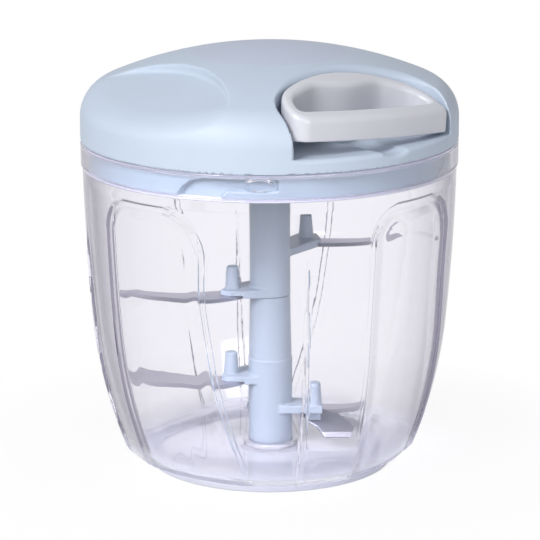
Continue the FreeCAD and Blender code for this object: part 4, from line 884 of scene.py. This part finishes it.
def curve(corners, places):
    """Points along a smooth curve through some corners, at places from 0 to 1."""
    corners = np.array(corners, float)
    chord = np.concatenate([[0], np.cumsum(np.sqrt(np.linalg.norm(np.diff(corners, axis=0), axis=1)))])
    chord /= chord[-1]
    count = len(corners)
    gaps = np.diff(chord)
    matrix = np.eye(count)
    pull = np.zeros((count, corners.shape[1]))
    for k in range(1, count - 1):
        matrix[k, k - 1:k + 2] = gaps[k - 1], 2 * (gaps[k - 1] + gaps[k]), gaps[k]
        pull[k] = 6 * ((corners[k + 1] - corners[k]) / gaps[k] - (corners[k] - corners[k - 1]) / gaps[k - 1])
    bend = np.linalg.solve(matrix, pull)
    k = np.clip(np.searchsorted(chord, places, side="right") - 1, 0, count - 2)
    a = ((chord[k + 1] - places) / gaps[k])[:, None]
    b = 1 - a
    square = (gaps[k] ** 2)[:, None] / 6
    bent = ((a ** 3 - a) * bend[k] + (b ** 3 - b) * bend[k + 1]) * square
    return a * corners[k] + b * corners[k + 1] + bent

# %% [markdown]
# A blade is a strip between its leading and its trailing edge. Across it the steel is flat, then falls away
# along the ground bevel to a thin edge in front.

# %% The flat blades
BEVEL = 2.2
EDGE_THICK = 0.12
CHAMFER = 0.12
BLADE_ROWS = 72


def blade(name, node, outline, underside):
    """One flat blade with its ground edge."""
    leading, trailing = [curve(edge, np.linspace(0, 1, BLADE_ROWS)) for edge in outline]
    wide = np.linalg.norm(trailing - leading, axis=1)[:, None]
    ground = np.minimum(BEVEL / wide, 0.6)
    ends = np.minimum(CHAMFER / wide, 0.05)
    across = [0 * wide, ground * 0.5, ground, ground + ends, ground * 0.5 + 0.5, 1 - ends, 1 + 0 * wide]
    tops = [EDGE_THICK, (EDGE_THICK + BLADE_THICK) / 2] + [BLADE_THICK] * 4 + [BLADE_THICK - CHAMFER]
    bottoms = [(1 + 0 * wide, CHAMFER), (1 - ends, 0.0), (0.5 + 0 * wide, 0.0), (ends, 0.0)]
    loops = []
    for place, height in list(zip(across, tops)) + bottoms:
        flat = leading + (trailing - leading) * place
        loops.append(np.concatenate([flat, np.full((len(flat), 1), underside + height)], axis=1))
    starts = np.arange(len(loops)) * BLADE_ROWS
    faces = []
    for row in range(BLADE_ROWS - 1):
        for start, onward in zip(starts + row, np.roll(starts, -1) + row):
            faces.append((start, start + 1, onward + 1, onward))
    faces += [starts, starts[::-1] + BLADE_ROWS - 1]
    made = piece(name, np.concatenate(loops), faces, "blades", crease=12)
    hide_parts(node)
    return made


high_blade = blade("high_blade", "blade_1", HIGH_BLADE, HIGH_ARM)
side_blade = blade("side_blade", "blade_2", SIDE_BLADE, SIDE_ARM)
low_blade = blade("low_blade", "blade_3", LOW_BLADE, LOW_ARM)
rear_blade = blade("rear_blade", "blade_5", REAR_BLADE, REAR_ARM)

# %% [markdown]
# The blade at the bottom is banked, so it lifts food from the floor. It is the same sheet cut to an oval
# and set on a slope down to its front edge.

# %% The banked blade
SCOOP_SLOPE = 0.6
SCOOP_EDGE_HEIGHT = 16.2
SCOOP_EDGE_Y = 1.5
SCOOP_BEVEL = 0.45
SCOOP_BEVEL_Y = -7.4


def scoop_form(x, y, z):
    """The banked blade, thinned along its front edge."""
    shape = to_outline(x, y, SCOOP_SHAPE) + 0 * z
    lean = math.hypot(1, SCOOP_SLOPE)
    top = (z - SCOOP_EDGE_HEIGHT - SCOOP_SLOPE * (y - SCOOP_EDGE_Y)) / lean
    bevel = (top + SCOOP_BEVEL * (SCOOP_BEVEL_Y - y) + 0.1) * 0.9
    form = both(shape, np.maximum(top, -top - BLADE_THICK), 0.1)
    return np.maximum(np.maximum(form, bevel), z - SCOOP_ARM)


scoop_blade = skin("banked_blade", scoop_form, (11.5, -10.4, 8.0), (30.2, 3.8, 18.2), 0.3,
                   "blades")
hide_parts("blade_4")

# %% [markdown]
# ## The column's plastic
# Both halves are moulded, so their arms have round edges and run into the column with small fillets. Where
# a blade is gripped the plastic leaves exactly its room.

# %% Arms, pegs and the room for a blade
ARM_THICK = 2.9
PEG_TALL = 8.0
PEG_RADIUS = 2.6
PEG_TIP = 2.1
PEG_EDGE = 0.7
PEG_FILLET = 0.5
ARM_EDGE = 0.45
ARM_FILLET = 0.8
BLADE_PLAY = 0.02


def arm_form(x, y, z, outline, underside, peg):
    """A flat arm with round edges and its tapered peg."""
    middle = underside + ARM_THICK / 2
    plate = both(to_outline(x, y, outline) + 0 * z, np.abs(z - middle) - ARM_THICK / 2, ARM_EDGE)
    top = underside + ARM_THICK
    taper = PEG_RADIUS - (PEG_RADIUS - PEG_TIP) * (z - top) / PEG_TALL
    side = np.hypot(x - peg[0], y - peg[1]) - taper
    body = both(side, np.maximum(z - top - PEG_TALL, top - 1 - z), PEG_EDGE)
    return either(plate, body, PEG_FILLET)


def blade_room(x, y, z, outline, underside):
    """The room that a flat blade takes in its arm."""
    there = curve(outline[0], np.linspace(0, 1, 30))
    back = curve(outline[1], np.linspace(1, 0, 30))
    shape = to_outline(x, y, np.concatenate([there, back]).tolist()) + 0 * z
    return np.maximum(shape - BLADE_PLAY, z - underside - BLADE_THICK - BLADE_PLAY)


def bar(x, y, z, radius, bottom, top, edge):
    """An upright round bar on the axis with rounded ends."""
    return both(np.hypot(x, y) - radius, np.maximum(z - top, bottom - z), edge)


def six_sided(x, y, flats):
    """A six-sided bar on the axis by its width across flats."""
    sides = [np.abs(x * math.cos(t) + y * math.sin(t)) for t in np.radians([30, 90, 150])]
    return np.maximum.reduce(sides) - flats / 2

# %% [markdown]
# The lower half has a rounded foot, a shoulder where the narrower neck starts and three arms close to the
# floor.

# %% The lower half of the column
LOWER_RADIUS = 7.7
SLEEVE_RADIUS = 7.07
NECK_RADII = (7.5, 7.0)
HOLDER_FOOT = 5.3
COLUMN_STEP = 0.42
SHOULDER_HEIGHT = 36.7
SLEEVE_FOOT = SIDE_ARM
LOW_OUTLINE = [(-17.1, -3.6), (-15.5, -6.0), (-7.0, -6.6), (-3.0, -6.2), (-3.0, 6.2), (-7.9, 9.2),
               (-15.5, 3.0)]
SCOOP_OUTLINE = [(3.0, -7.0), (4.2, -7.6), (18.2, -7.6), (18.2, -5.4), (17.7, 2.6), (12.9, 2.6), (8.0, 3.0),
                 (3.0, 5.0)]
REAR_OUTLINE = [(-5.0, 3.0), (-8.5, 12.0), (-4.0, 17.0), (4.5, 17.5), (6.0, 3.0)]
LOWER_ARMS = ((LOW_OUTLINE, LOW_ARM, (-13.7, -1.6)), (SCOOP_OUTLINE, SCOOP_ARM, (15.4, -4.9)),
              (REAR_OUTLINE, REAR_ARM, (-1.0, 13.4)))
FOOT_ROUND = 2.5
SHOULDER_EDGE = 0.35
SLEEVE_GAP = 0.05
SEAT_MIDDLE = (15.3, -0.4, 15.9)
SEAT_HALF = (2.4, 3.0, 1.9)
SEAT_EDGE = 0.3
FOOT_BORE = (5.0, 12.0)
BUSH_BORE = (4.0, 25.0)


def lower_form(x, y, z):
    """The lower half of the column."""
    foot = bar(x, y, z, LOWER_RADIUS, HOLDER_FOOT, SHOULDER_HEIGHT - 8, FOOT_ROUND)
    trunk = bar(x, y, z, LOWER_RADIUS, SHOULDER_HEIGHT - 20, SHOULDER_HEIGHT, SHOULDER_EDGE)
    neck_radius = np.interp(z, (SHOULDER_HEIGHT, SLEEVE_FOOT), NECK_RADII)
    neck = bar(x, y, z, neck_radius, SHOULDER_HEIGHT - 5, SLEEVE_FOOT - BLADE_PLAY, SLEEVE_GAP)
    form = np.minimum(np.minimum(foot, trunk), neck)
    for arm in LOWER_ARMS:
        form = either(form, arm_form(x, y, z, *arm), ARM_FILLET)
    off = [np.abs(v - middle) - half for v, middle, half in zip((x, y, z), SEAT_MIDDLE, SEAT_HALF)]
    seat = both(np.maximum(off[0], off[1]), off[2], SEAT_EDGE)
    form = either(form, seat, SEAT_EDGE)
    form = np.maximum(form, -blade_room(x, y, z, LOW_BLADE, LOW_ARM))
    form = np.maximum(form, -blade_room(x, y, z, REAR_BLADE, REAR_ARM))
    form = np.maximum(form, -(scoop_form(x, y, z) - BLADE_PLAY))
    bores = [np.maximum(np.hypot(x, y) - radius, z - top) for radius, top in (FOOT_BORE, BUSH_BORE)]
    return np.maximum(form, -np.minimum(*bores))


lower = skin("column_lower", lower_form, (-18, -9, HOLDER_FOOT - 0.9), (19.3, 18.6, SLEEVE_FOOT + 0.6),
             COLUMN_STEP, "blades")
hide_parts("holder_lower")

# %% [markdown]
# The upper half is a plain sleeve with a six-sided head that the spool drives. Its two arms sit at its foot
# and a finger's breadth higher.

# %% The upper half of the column
SLEEVE_TOP = 104.5
SLEEVE_EDGE = 0.3
HEX_FLATS = 10.0
HEX_TOP = 117.6
SIDE_OUTLINE = [(-17.4, -5.7), (-13.9, -7.8), (-5.9, -7.7), (-0.7, -7.0), (-2.0, 6.0), (-7.0, 7.5),
                (-13.7, 2.6)]
HIGH_OUTLINE = [(3.0, 6.0), (6.6, 2.0), (16.6, 15.8), (18.2, 19.0), (16.8, 26.0), (10.6, 27.6), (2.0, 12.5),
                (1.0, 7.0)]
UPPER_ARMS = ((SIDE_OUTLINE, SIDE_ARM, (-13.0, -3.3)), (HIGH_OUTLINE, HIGH_ARM, (12.9, 21.6)))


def upper_form(x, y, z):
    """The upper half of the column."""
    form = bar(x, y, z, SLEEVE_RADIUS, SLEEVE_FOOT + SLEEVE_GAP, SLEEVE_TOP, SLEEVE_EDGE)
    head = both(six_sided(x, y, HEX_FLATS), np.maximum(z - HEX_TOP, SLEEVE_TOP - 1 - z), SLEEVE_EDGE)
    lead_in = (np.hypot(x, y) - HEX_FLATS / 2 - HEX_TOP + z) * 0.7
    form = np.minimum(form, np.maximum(head, lead_in))
    for arm in UPPER_ARMS:
        form = either(form, arm_form(x, y, z, *arm), ARM_FILLET)
    form = np.maximum(form, SLEEVE_FOOT + SLEEVE_GAP - z)
    form = np.maximum(form, -blade_room(x, y, z, SIDE_BLADE, SIDE_ARM))
    return np.maximum(form, -blade_room(x, y, z, HIGH_BLADE, HIGH_ARM))


upper = skin("column_upper", upper_form, (-18.3, -8.7, SLEEVE_FOOT - 0.6), (19.1, 28.5, HEX_TOP + 0.9),
             COLUMN_STEP, "blades")
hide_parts("holder_upper")

# %% [markdown]
# ## The cord
# At rest only a few millimetres of cord run from the eyelet in the pocket to the handle's boss, and this
# piece is that stretch at rest.

# %% The free stretch of cord
CORD_RADIUS = 1.1
CORD_FROM, CORD_TO = 28.0, KNOT_OUT
CORD_ROWS = 61
CORD_COLUMNS = 20


def on_pull_line(out, side, height):
    """Points from how far out along the pull they lie, how far to its right and how high."""
    x = out * math.sin(PULL_AZIMUTH) + side * math.cos(PULL_AZIMUTH)
    y = -out * math.cos(PULL_AZIMUTH) + side * math.sin(PULL_AZIMUTH)
    return np.stack(np.broadcast_arrays(x, y, height), axis=-1).reshape(-1, 3)


def on_cord(out):
    """A point on the cord's middle line, in metres."""
    return Vector(on_pull_line(out, CORD_SIDE, CORD_HEIGHT)[0]) * MM


cord_out = np.linspace(CORD_FROM, CORD_TO, CORD_ROWS)[:, None]
cord_angle = np.linspace(0, 2 * math.pi, CORD_COLUMNS, endpoint=False)
cord_points = on_pull_line(cord_out, CORD_SIDE + CORD_RADIUS * np.cos(cord_angle),
                           CORD_HEIGHT + CORD_RADIUS * np.sin(cord_angle))
cord_mesh = bpy.data.meshes.new("free_cord")
cord_mesh.from_pydata((cord_points * MM).tolist(), [], grid_faces(CORD_ROWS, CORD_COLUMNS).tolist())
cord_mesh.shade_smooth()
free_cord = bpy.data.objects.new("free_cord", cord_mesh)
bpy.context.scene.collection.objects.link(free_cord)
on_cord(CORD_FROM + 2)
on_cord(CORD_TO - 1.5)
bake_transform(free_cord)
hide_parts("cord_lead")

# %% [markdown]
# ## Materials from nodes
# Each finish is a small network of nodes. One helper adds a node, sets its values and links it to what
# feeds it, so that a network reads from its noise down to its shader.

# %% Helpers for nodes
def node(tree, kind, sockets, **settings):
    """A node with its settings and its sockets, each a plain value, another node or one of its outputs."""
    made = tree.nodes.new("ShaderNode" + kind)
    for name, value in settings.items():
        setattr(made, name, value)
    for name, value in sockets.items():
        if isinstance(value, bpy.types.Node):
            value = next(output for output in value.outputs if output.enabled)
        if isinstance(value, bpy.types.NodeSocket):
            tree.links.new(value, made.inputs[name])
        else:
            made.inputs[name].default_value = value
    return made


def maths(tree, operation, first, second=0.0, **settings):
    """A sum, a product or a comparison of two values."""
    return node(tree, "Math", {0: first, 1: second}, operation=operation, **settings)


def spread(tree, value, low, high, start=0.0, end=1.0, **settings):
    """A value that runs from start to end, made to run from low to high."""
    limits = {"From Min": start, "From Max": end, "To Min": low, "To Max": high}
    return node(tree, "MapRange", {"Value": value, **limits}, **settings)


def noise(tree, place, scale, detail):
    """Cloudy noise, with so many clouds to a metre."""
    return node(tree, "TexNoise", {"Vector": place, "Scale": scale, "Detail": detail})


def relief(tree, height, strength, distance, **sockets):
    """Small bumps from a height."""
    return node(tree, "Bump", {"Height": height, "Strength": strength, "Distance": distance, **sockets})


def start_material(name):
    """An empty material, its node tree and the object's own coordinates."""
    material = bpy.data.materials.new(name)
    material.use_nodes = True
    tree = material.node_tree
    tree.nodes.clear()
    return material, tree, node(tree, "TexCoord", {}).outputs["Object"]


def dress(material, *objects):
    """Gives objects one material."""
    for each in objects:
        each.data.materials.clear()
        each.data.materials.append(material)
    print("%s dresses %s" % (material.name, ", ".join(each.name for each in objects)))


def linear(red, green, blue):
    """A colour as the renderer wants it, from the 0 to 255 values that a picture shows."""
    values = [v / 255 for v in (red, green, blue)]
    return [v / 12.92 if v <= 0.04045 else ((v + 0.055) / 1.055) ** 2.4 for v in values] + [1]

# %% [markdown]
# ## Moulded plastic
# The lid, the column and the white inner parts are moulded plastic that differ in colour and gloss only.
# Fine grain makes the highlights soft, and a slow change in roughness keeps large faces from looking flat.
# On top of the dome lies a bare disc in a slightly warmer shade, found by its distance from the axis.

# %% Plastics
DISC_TINT = (1.0, 0.955, 0.985, 1)
DISC_RADIUS = 26.7
DISC_FADE = 0.4
GRAINS = 1000 / 0.35
MOTTLE = 0.04


def plastic(name, colour, rough, grain, disc=0.0):
    """A moulded plastic with fine grain, slight mottling, uneven gloss and a faint lilac disc on the axis."""
    material, tree, place = start_material(name)
    slow = noise(tree, place, 70.0, 3.0)
    shade = spread(tree, slow, 1 - MOTTLE, 1 + MOTTLE)
    tint = node(tree, "VectorMath", {0: colour[:3], "Scale": shade}, operation="SCALE")
    flat = node(tree, "VectorMath", {0: place, 1: (1, 1, 0)}, operation="MULTIPLY")
    from_axis = node(tree, "VectorMath", {0: flat}, operation="LENGTH")
    on_disc = spread(tree, from_axis, 1.0, 0.0, (disc - DISC_FADE) * MM, (disc + DISC_FADE) * MM)
    printed = node(tree, "Mix", {"Factor": on_disc, 6: tint, 7: DISC_TINT},
                   data_type="RGBA", blend_type="MULTIPLY")
    gloss = spread(tree, slow, rough * 0.85, rough * 1.15)
    bump = relief(tree, noise(tree, place, GRAINS, 2.0), grain, 0.0002)
    shader = node(tree, "BsdfPrincipled", {"Base Color": printed, "Roughness": gloss, "Normal": bump})
    node(tree, "OutputMaterial", {"Surface": shader})
    return material


dress(plastic("lid_blue", linear(181, 193, 209), 0.5, 0.14, DISC_RADIUS), lid_cover)
dress(plastic("skirt_blue", linear(166, 181, 195), 0.38, 0.06), skirt, plate)
dress(plastic("holder_blue", linear(171, 183, 197), 0.38, 0.08), lower, upper)
dress(plastic("handle_grey", linear(200, 201, 209), 0.3, 0.04), handle)
plastic("inner_white", linear(236, 236, 234), 0.45, 0.1)

# %% [markdown]
# ## Clear plastic
# The bowl bends light as it enters and leaves the wall. Where it is looked at along the wall it is painted
# darker grey-lilac: lilac for the long path through the plastic, and painted shade for the dark surroundings
# that a real wall shows edge-on. Its rim and its thick foot hold more lilac and a little milk.

# %% Where the plastic takes colour and painted shade
CLEAR = (0.955, 0.948, 0.975, 1)
# Dark grey-lilac: painted shade for the dark surroundings in the wall seen edge-on, with the plastic's own
# lilac.
WALL_EDGE_PAINTED_SHADE = (0.20, 0.19, 0.26, 1)
FOOT_LILAC = (0.90, 0.905, 0.96, 1)
RIM_LILAC = (0.80, 0.79, 0.95, 1)
RIM_BANDS = ((114.4, 1.3), (106.5, 1.1))
FOOT_FROM = 14
FOOT_TO = 3


def wall_colour(tree, place):
    """The bowl's colour, with painted grey shade where the wall is seen edge-on, lilac at rim, band and foot,
    and its haze.
    """
    height = node(tree, "SeparateXYZ", {"Vector": place}).outputs["Z"]
    side = node(tree, "LayerWeight", {"Blend": 0.5}).outputs["Facing"]
    # The share of painted edge-on shade grows as the wall turns away from the view.
    along = maths(tree, "MULTIPLY", maths(tree, "POWER", side, 3.0), 2.0, use_clamp=True)
    bands = []
    for middle, reach in RIM_BANDS:
        off = maths(tree, "ABSOLUTE", maths(tree, "SUBTRACT", height, middle * MM))
        bands.append(spread(tree, off, 1.0, 0.0, 0.0, reach * MM, interpolation_type="SMOOTHSTEP"))
    rims = maths(tree, "MAXIMUM", *bands)
    foot = spread(tree, height, 0.0, 1.0, FOOT_FROM * MM, FOOT_TO * MM, interpolation_type="SMOOTHSTEP")
    colour = CLEAR
    for share, tint in ((along, WALL_EDGE_PAINTED_SHADE), (rims, RIM_LILAC), (foot, FOOT_LILAC)):
        colour = node(tree, "Mix", {"Factor": share, 6: colour, 7: tint}, data_type="RGBA")
    return colour, maths(tree, "MAXIMUM", foot, rims)

# %% [markdown]
# Lamps shine through the wall: for shadow rays it counts as nearly transparent, or the inside would be too
# dark. A ray that has bounced many times inside the wall goes straight on too, or its path would end in
# black; it goes on darkened to grey-lilac, painted shade that draws the dark lines along the panel borders.

# %% The clear bowl
SHADOW_TINT = (0.93, 0.93, 0.97, 1)
ONWARD_PAINTED_SHADE = (0.38, 0.36, 0.44, 1)
BODY_TINT = (0.80, 0.79, 0.92, 1)
HAZY = 0.66
MOST_REFLECTIONS = 2.5
MOST_BOUNCES = 7.5


def clear_plastic():
    """Clear plastic with small moulding waves and fine scratches."""
    material, tree, place = start_material("clear_bowl")
    drawn = node(tree, "Mapping", {"Vector": place, "Scale": (1.0, 1.0, 0.06)})
    scratch = noise(tree, drawn, 2600.0, 3.0)
    waves = relief(tree, noise(tree, place, 45.0, 1.0), 0.04, 0.0005)
    bump = relief(tree, scratch, 0.01, 0.0001, Normal=waves)
    rough = spread(tree, scratch, 0.0, 0.04, 0.55, 0.75)
    colour, haze = wall_colour(tree, place)
    clear = spread(tree, haze, 1.0, HAZY)
    glass = node(tree, "BsdfPrincipled", {"Base Color": colour, "Roughness": rough, "IOR": 1.49,
                                          "Transmission Weight": clear, "Normal": bump})
    ray = node(tree, "LightPath", {}).outputs
    reflected = maths(tree, "GREATER_THAN", ray["Glossy Depth"], MOST_REFLECTIONS)
    bounced = maths(tree, "GREATER_THAN", ray["Ray Depth"], MOST_BOUNCES)
    # The dark grey-lilac here is painted shade for the dark lines along the panel borders.
    onward = node(tree, "BsdfTransparent", {"Color": ONWARD_PAINTED_SHADE})
    seen = node(tree, "MixShader", {"Fac": maths(tree, "MAXIMUM", reflected, bounced), 1: glass, 2: onward})
    shade = node(tree, "BsdfTransparent", {"Color": SHADOW_TINT})
    shader = node(tree, "MixShader", {"Fac": ray["Is Shadow Ray"], 1: seen, 2: shade})
    body = node(tree, "VolumeAbsorption", {"Color": BODY_TINT, "Density": 22.0})
    node(tree, "OutputMaterial", {"Surface": shader, "Volume": body})
    return material


dress(clear_plastic(), bowl)

# %% [markdown]
# ## Silicone
# The foot ring and the seals are milky: light goes a little way in and comes out again, which softens them.

# %% Soft rings
def silicone(name, colour):
    """Milky silicone with a dull skin."""
    material, tree, place = start_material(name)
    fine = noise(tree, place, 1800.0, 2.0)
    gloss = spread(tree, fine, 0.38, 0.62)
    bump = relief(tree, fine, 0.1, 0.0002)
    milk = {"Subsurface Weight": 0.3, "Subsurface Radius": (0.002, 0.002, 0.002), "Subsurface Scale": 1.0}
    shader = node(tree, "BsdfPrincipled", {"Base Color": colour, "Roughness": gloss, "Normal": bump, **milk})
    node(tree, "OutputMaterial", {"Surface": shader})
    return material


dress(silicone("soft_foot", linear(190, 191, 199)), foot)
dress(silicone("soft_seal", linear(232, 232, 238)), seal, hub)

# %% [markdown]
# ## Steel
# The blades are stamped from sheet that was rolled and brushed, so fine lines run along it and blur
# reflections. Noise stretched fifty times along one direction gives those lines.

# %% Brushed steel
def steel(name, colour, rough, stretch=(1.0, 0.02, 1.0)):
    """Steel with brushed lines along one direction."""
    material, tree, place = start_material(name)
    lines = noise(tree, node(tree, "Mapping", {"Vector": place, "Scale": stretch}), 9000.0, 3.0)
    mixed = maths(tree, "ADD", lines, noise(tree, place, 90.0, 2.0))
    gloss = spread(tree, mixed, rough * 0.75, rough * 1.35, 0.6, 1.4)
    shade = spread(tree, lines, 0.85, 1.12)
    tint = node(tree, "VectorMath", {0: colour[:3], "Scale": shade}, operation="SCALE")
    bump = relief(tree, lines, 0.08, 0.0001)
    shader = node(tree, "BsdfPrincipled", {"Base Color": tint, "Metallic": 1.0, "Roughness": gloss,
                                           "Normal": bump})
    node(tree, "OutputMaterial", {"Surface": shader})
    return material


blade_steel = steel("blade_steel", linear(212, 210, 221), 0.42)
steel("spring_steel", linear(165, 165, 172), 0.3, stretch=(1.0, 1.0, 0.02))
steel("pin_steel", linear(205, 205, 208), 0.22, stretch=(1.0, 1.0, 0.1))
dress(blade_steel, high_blade, side_blade, low_blade, rear_blade, scoop_blade)

# %% [markdown]
# ## Braided cord
# Two waves that lean opposite ways cross like the strands of a braid, and the valleys between the strands are
# painted darker as painted shade.

# %% The cord's braid
def braid():
    """White braided cord with painted shade in the valleys between its strands."""
    material, tree, place = start_material("cord_white")
    strands = []
    for lean in (0.6, -0.6):
        leant = node(tree, "Mapping", {"Vector": place, "Rotation": (lean, 0.4, lean)})
        wave = node(tree, "TexWave", {"Vector": leant, "Scale": 330.0, "Distortion": 0.6})
        strands.append(wave.outputs["Fac"])
    crossed = maths(tree, "MAXIMUM", *strands)
    # Darker where the strands are low: painted shade in the braid's creases.
    shade = spread(tree, crossed, 0.62, 0.86)
    bump = relief(tree, crossed, 0.6, 0.0003)
    shader = node(tree, "BsdfPrincipled", {"Base Color": shade, "Roughness": 0.8, "Normal": bump})
    node(tree, "OutputMaterial", {"Surface": shader})
    return material


dress(braid(), free_cord)

# %% [markdown]
# ## Pieces kept from the CAD model
# Screws, the spool, the recoil spring and its case, the pins and the bush are simple turned or cut parts.
# Their own meshes are exact already, so they keep them and only take a finish.

# %% Finishes for the carried-over pieces
CARRIED = {
    "pin_steel": ["pivot_pin", "cover_screws", "case_screws", "spool_axle", "axle_washers", "axle_screw",
                  "cord_guide"],
    "spring_steel": ["mainspring"],
    "inner_white": ["spring_case", "spring_cap", "spool", "drive_socket", "shaft_bush"],
    "cord_white": ["cord_winding", "cord_knot"],
    "handle_grey": ["handle_plug"],
}
for slot_name, names in CARRIED.items():
    dress(bpy.data.materials[slot_name], *[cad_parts[name] for name in names])

# %% [markdown]
# ## Floor and light
# The photograph is a product shot on white: the table is as white as the air behind it, with a breath of
# shadow. A large soft lamp stands front left and above, a weaker one on the right, and white surroundings
# fill the rest. What the object mirrors is a little darker than the backdrop, so that its clear edges stand
# out against it.

# %% Rays that see the backdrop
MIRRORED_WHITE = 0.7


def backdrop_rays(tree):
    """One for rays that see the backdrop straight or through the bowl, and less for mirrored ones."""
    ray = node(tree, "LightPath", {}).outputs
    straight = maths(tree, "MAXIMUM", ray["Is Camera Ray"], ray["Is Transmission Ray"])
    mirrored = maths(tree, "MULTIPLY", ray["Is Glossy Ray"], MIRRORED_WHITE)
    seen = maths(tree, "MAXIMUM", straight, mirrored)
    return maths(tree, "MULTIPLY", seen, maths(tree, "LESS_THAN", ray["Diffuse Depth"], 0.5))

# %% [markdown]
# The floor glows as white as the backdrop for the rays that see the backdrop, so no horizon shows. Near the
# object a small share of it is plain diffuse white instead, and that share takes a breath of shadow.

# %% A white floor that keeps a soft shadow
FLOOR_HALF = 3.0
FLOOR_FADE = (0.07, 0.14)
FLOOR_GLOW_NEAR = 0.86
floor_mesh = bpy.data.meshes.new("floor")
floor_signs = ((-1, -1), (1, -1), (1, 1), (-1, 1))
floor_mesh.from_pydata([(x * FLOOR_HALF, y * FLOOR_HALF, 0) for x, y in floor_signs], [], [(0, 1, 2, 3)])
floor = bpy.data.objects.new("floor", floor_mesh)
bpy.context.scene.collection.objects.link(floor)


def white_floor():
    """A floor that glows like the backdrop, with a share of diffuse white near the object."""
    material, tree, place = start_material("floor_white")
    diffuse = node(tree, "BsdfDiffuse", {"Color": spread(tree, noise(tree, place, 300.0, 2.0), 0.88, 0.92)})
    glow = node(tree, "Emission", {"Color": (1, 1, 1, 1), "Strength": 1.0})
    away = node(tree, "VectorMath", {0: place}, operation="LENGTH")
    share = spread(tree, away, FLOOR_GLOW_NEAR, 1.0, *FLOOR_FADE)
    bright = maths(tree, "MULTIPLY", share, backdrop_rays(tree))
    node(tree, "OutputMaterial", {"Surface": node(tree, "MixShader", {"Fac": bright, 1: diffuse, 2: glow})})
    return material


dress(white_floor(), floor)

# %% [markdown]
# The surroundings could be one plain white, but that would light every side alike and leave the dome flat.
# So they are white only for the rays that see the backdrop, and a dim fill for the rays that carry light.

# %% White surroundings
FILL_LIGHT = 0.27
world = bpy.data.worlds.new("studio")
bpy.context.scene.world = world
world.use_nodes = True
tree = world.node_tree
tree.nodes.clear()
fill = node(tree, "Background", {"Color": (0.97, 0.98, 1.0, 1), "Strength": FILL_LIGHT})
white = node(tree, "Background", {"Color": (1, 1, 1, 1), "Strength": 1.0})
sky = node(tree, "MixShader", {"Fac": backdrop_rays(tree), 1: fill, 2: white})
node(tree, "OutputWorld", {"Surface": sky})
print("surroundings: white where they are seen, a fill of %.2f where they light" % FILL_LIGHT)

# %% [markdown]
# The lamps are large and near, so their shadows melt away and their reflections on the dome are wide and
# soft.

# %% Soft lamps
LAMP_AIM = Vector((0, 0, 70 * MM))


def lamp(name, place, size, power):
    """A square area lamp turned toward the middle of the object."""
    light = bpy.data.lights.new(name, "AREA")
    light.size = size
    light.energy = power
    made = bpy.data.objects.new(name, light)
    bpy.context.scene.collection.objects.link(made)
    made.location = place
    made.rotation_euler = (LAMP_AIM - made.location).to_track_quat("-Z", "Y").to_euler()
    print("%s: %.1f W from %.2f m away" % (name, power, (LAMP_AIM - made.location).length))


lamp("front_left", (-0.68, -0.84, 0.915), 0.5, 15.4)
lamp("right_fill", (0.42, -0.95, 0.556), 0.6, 4.0)
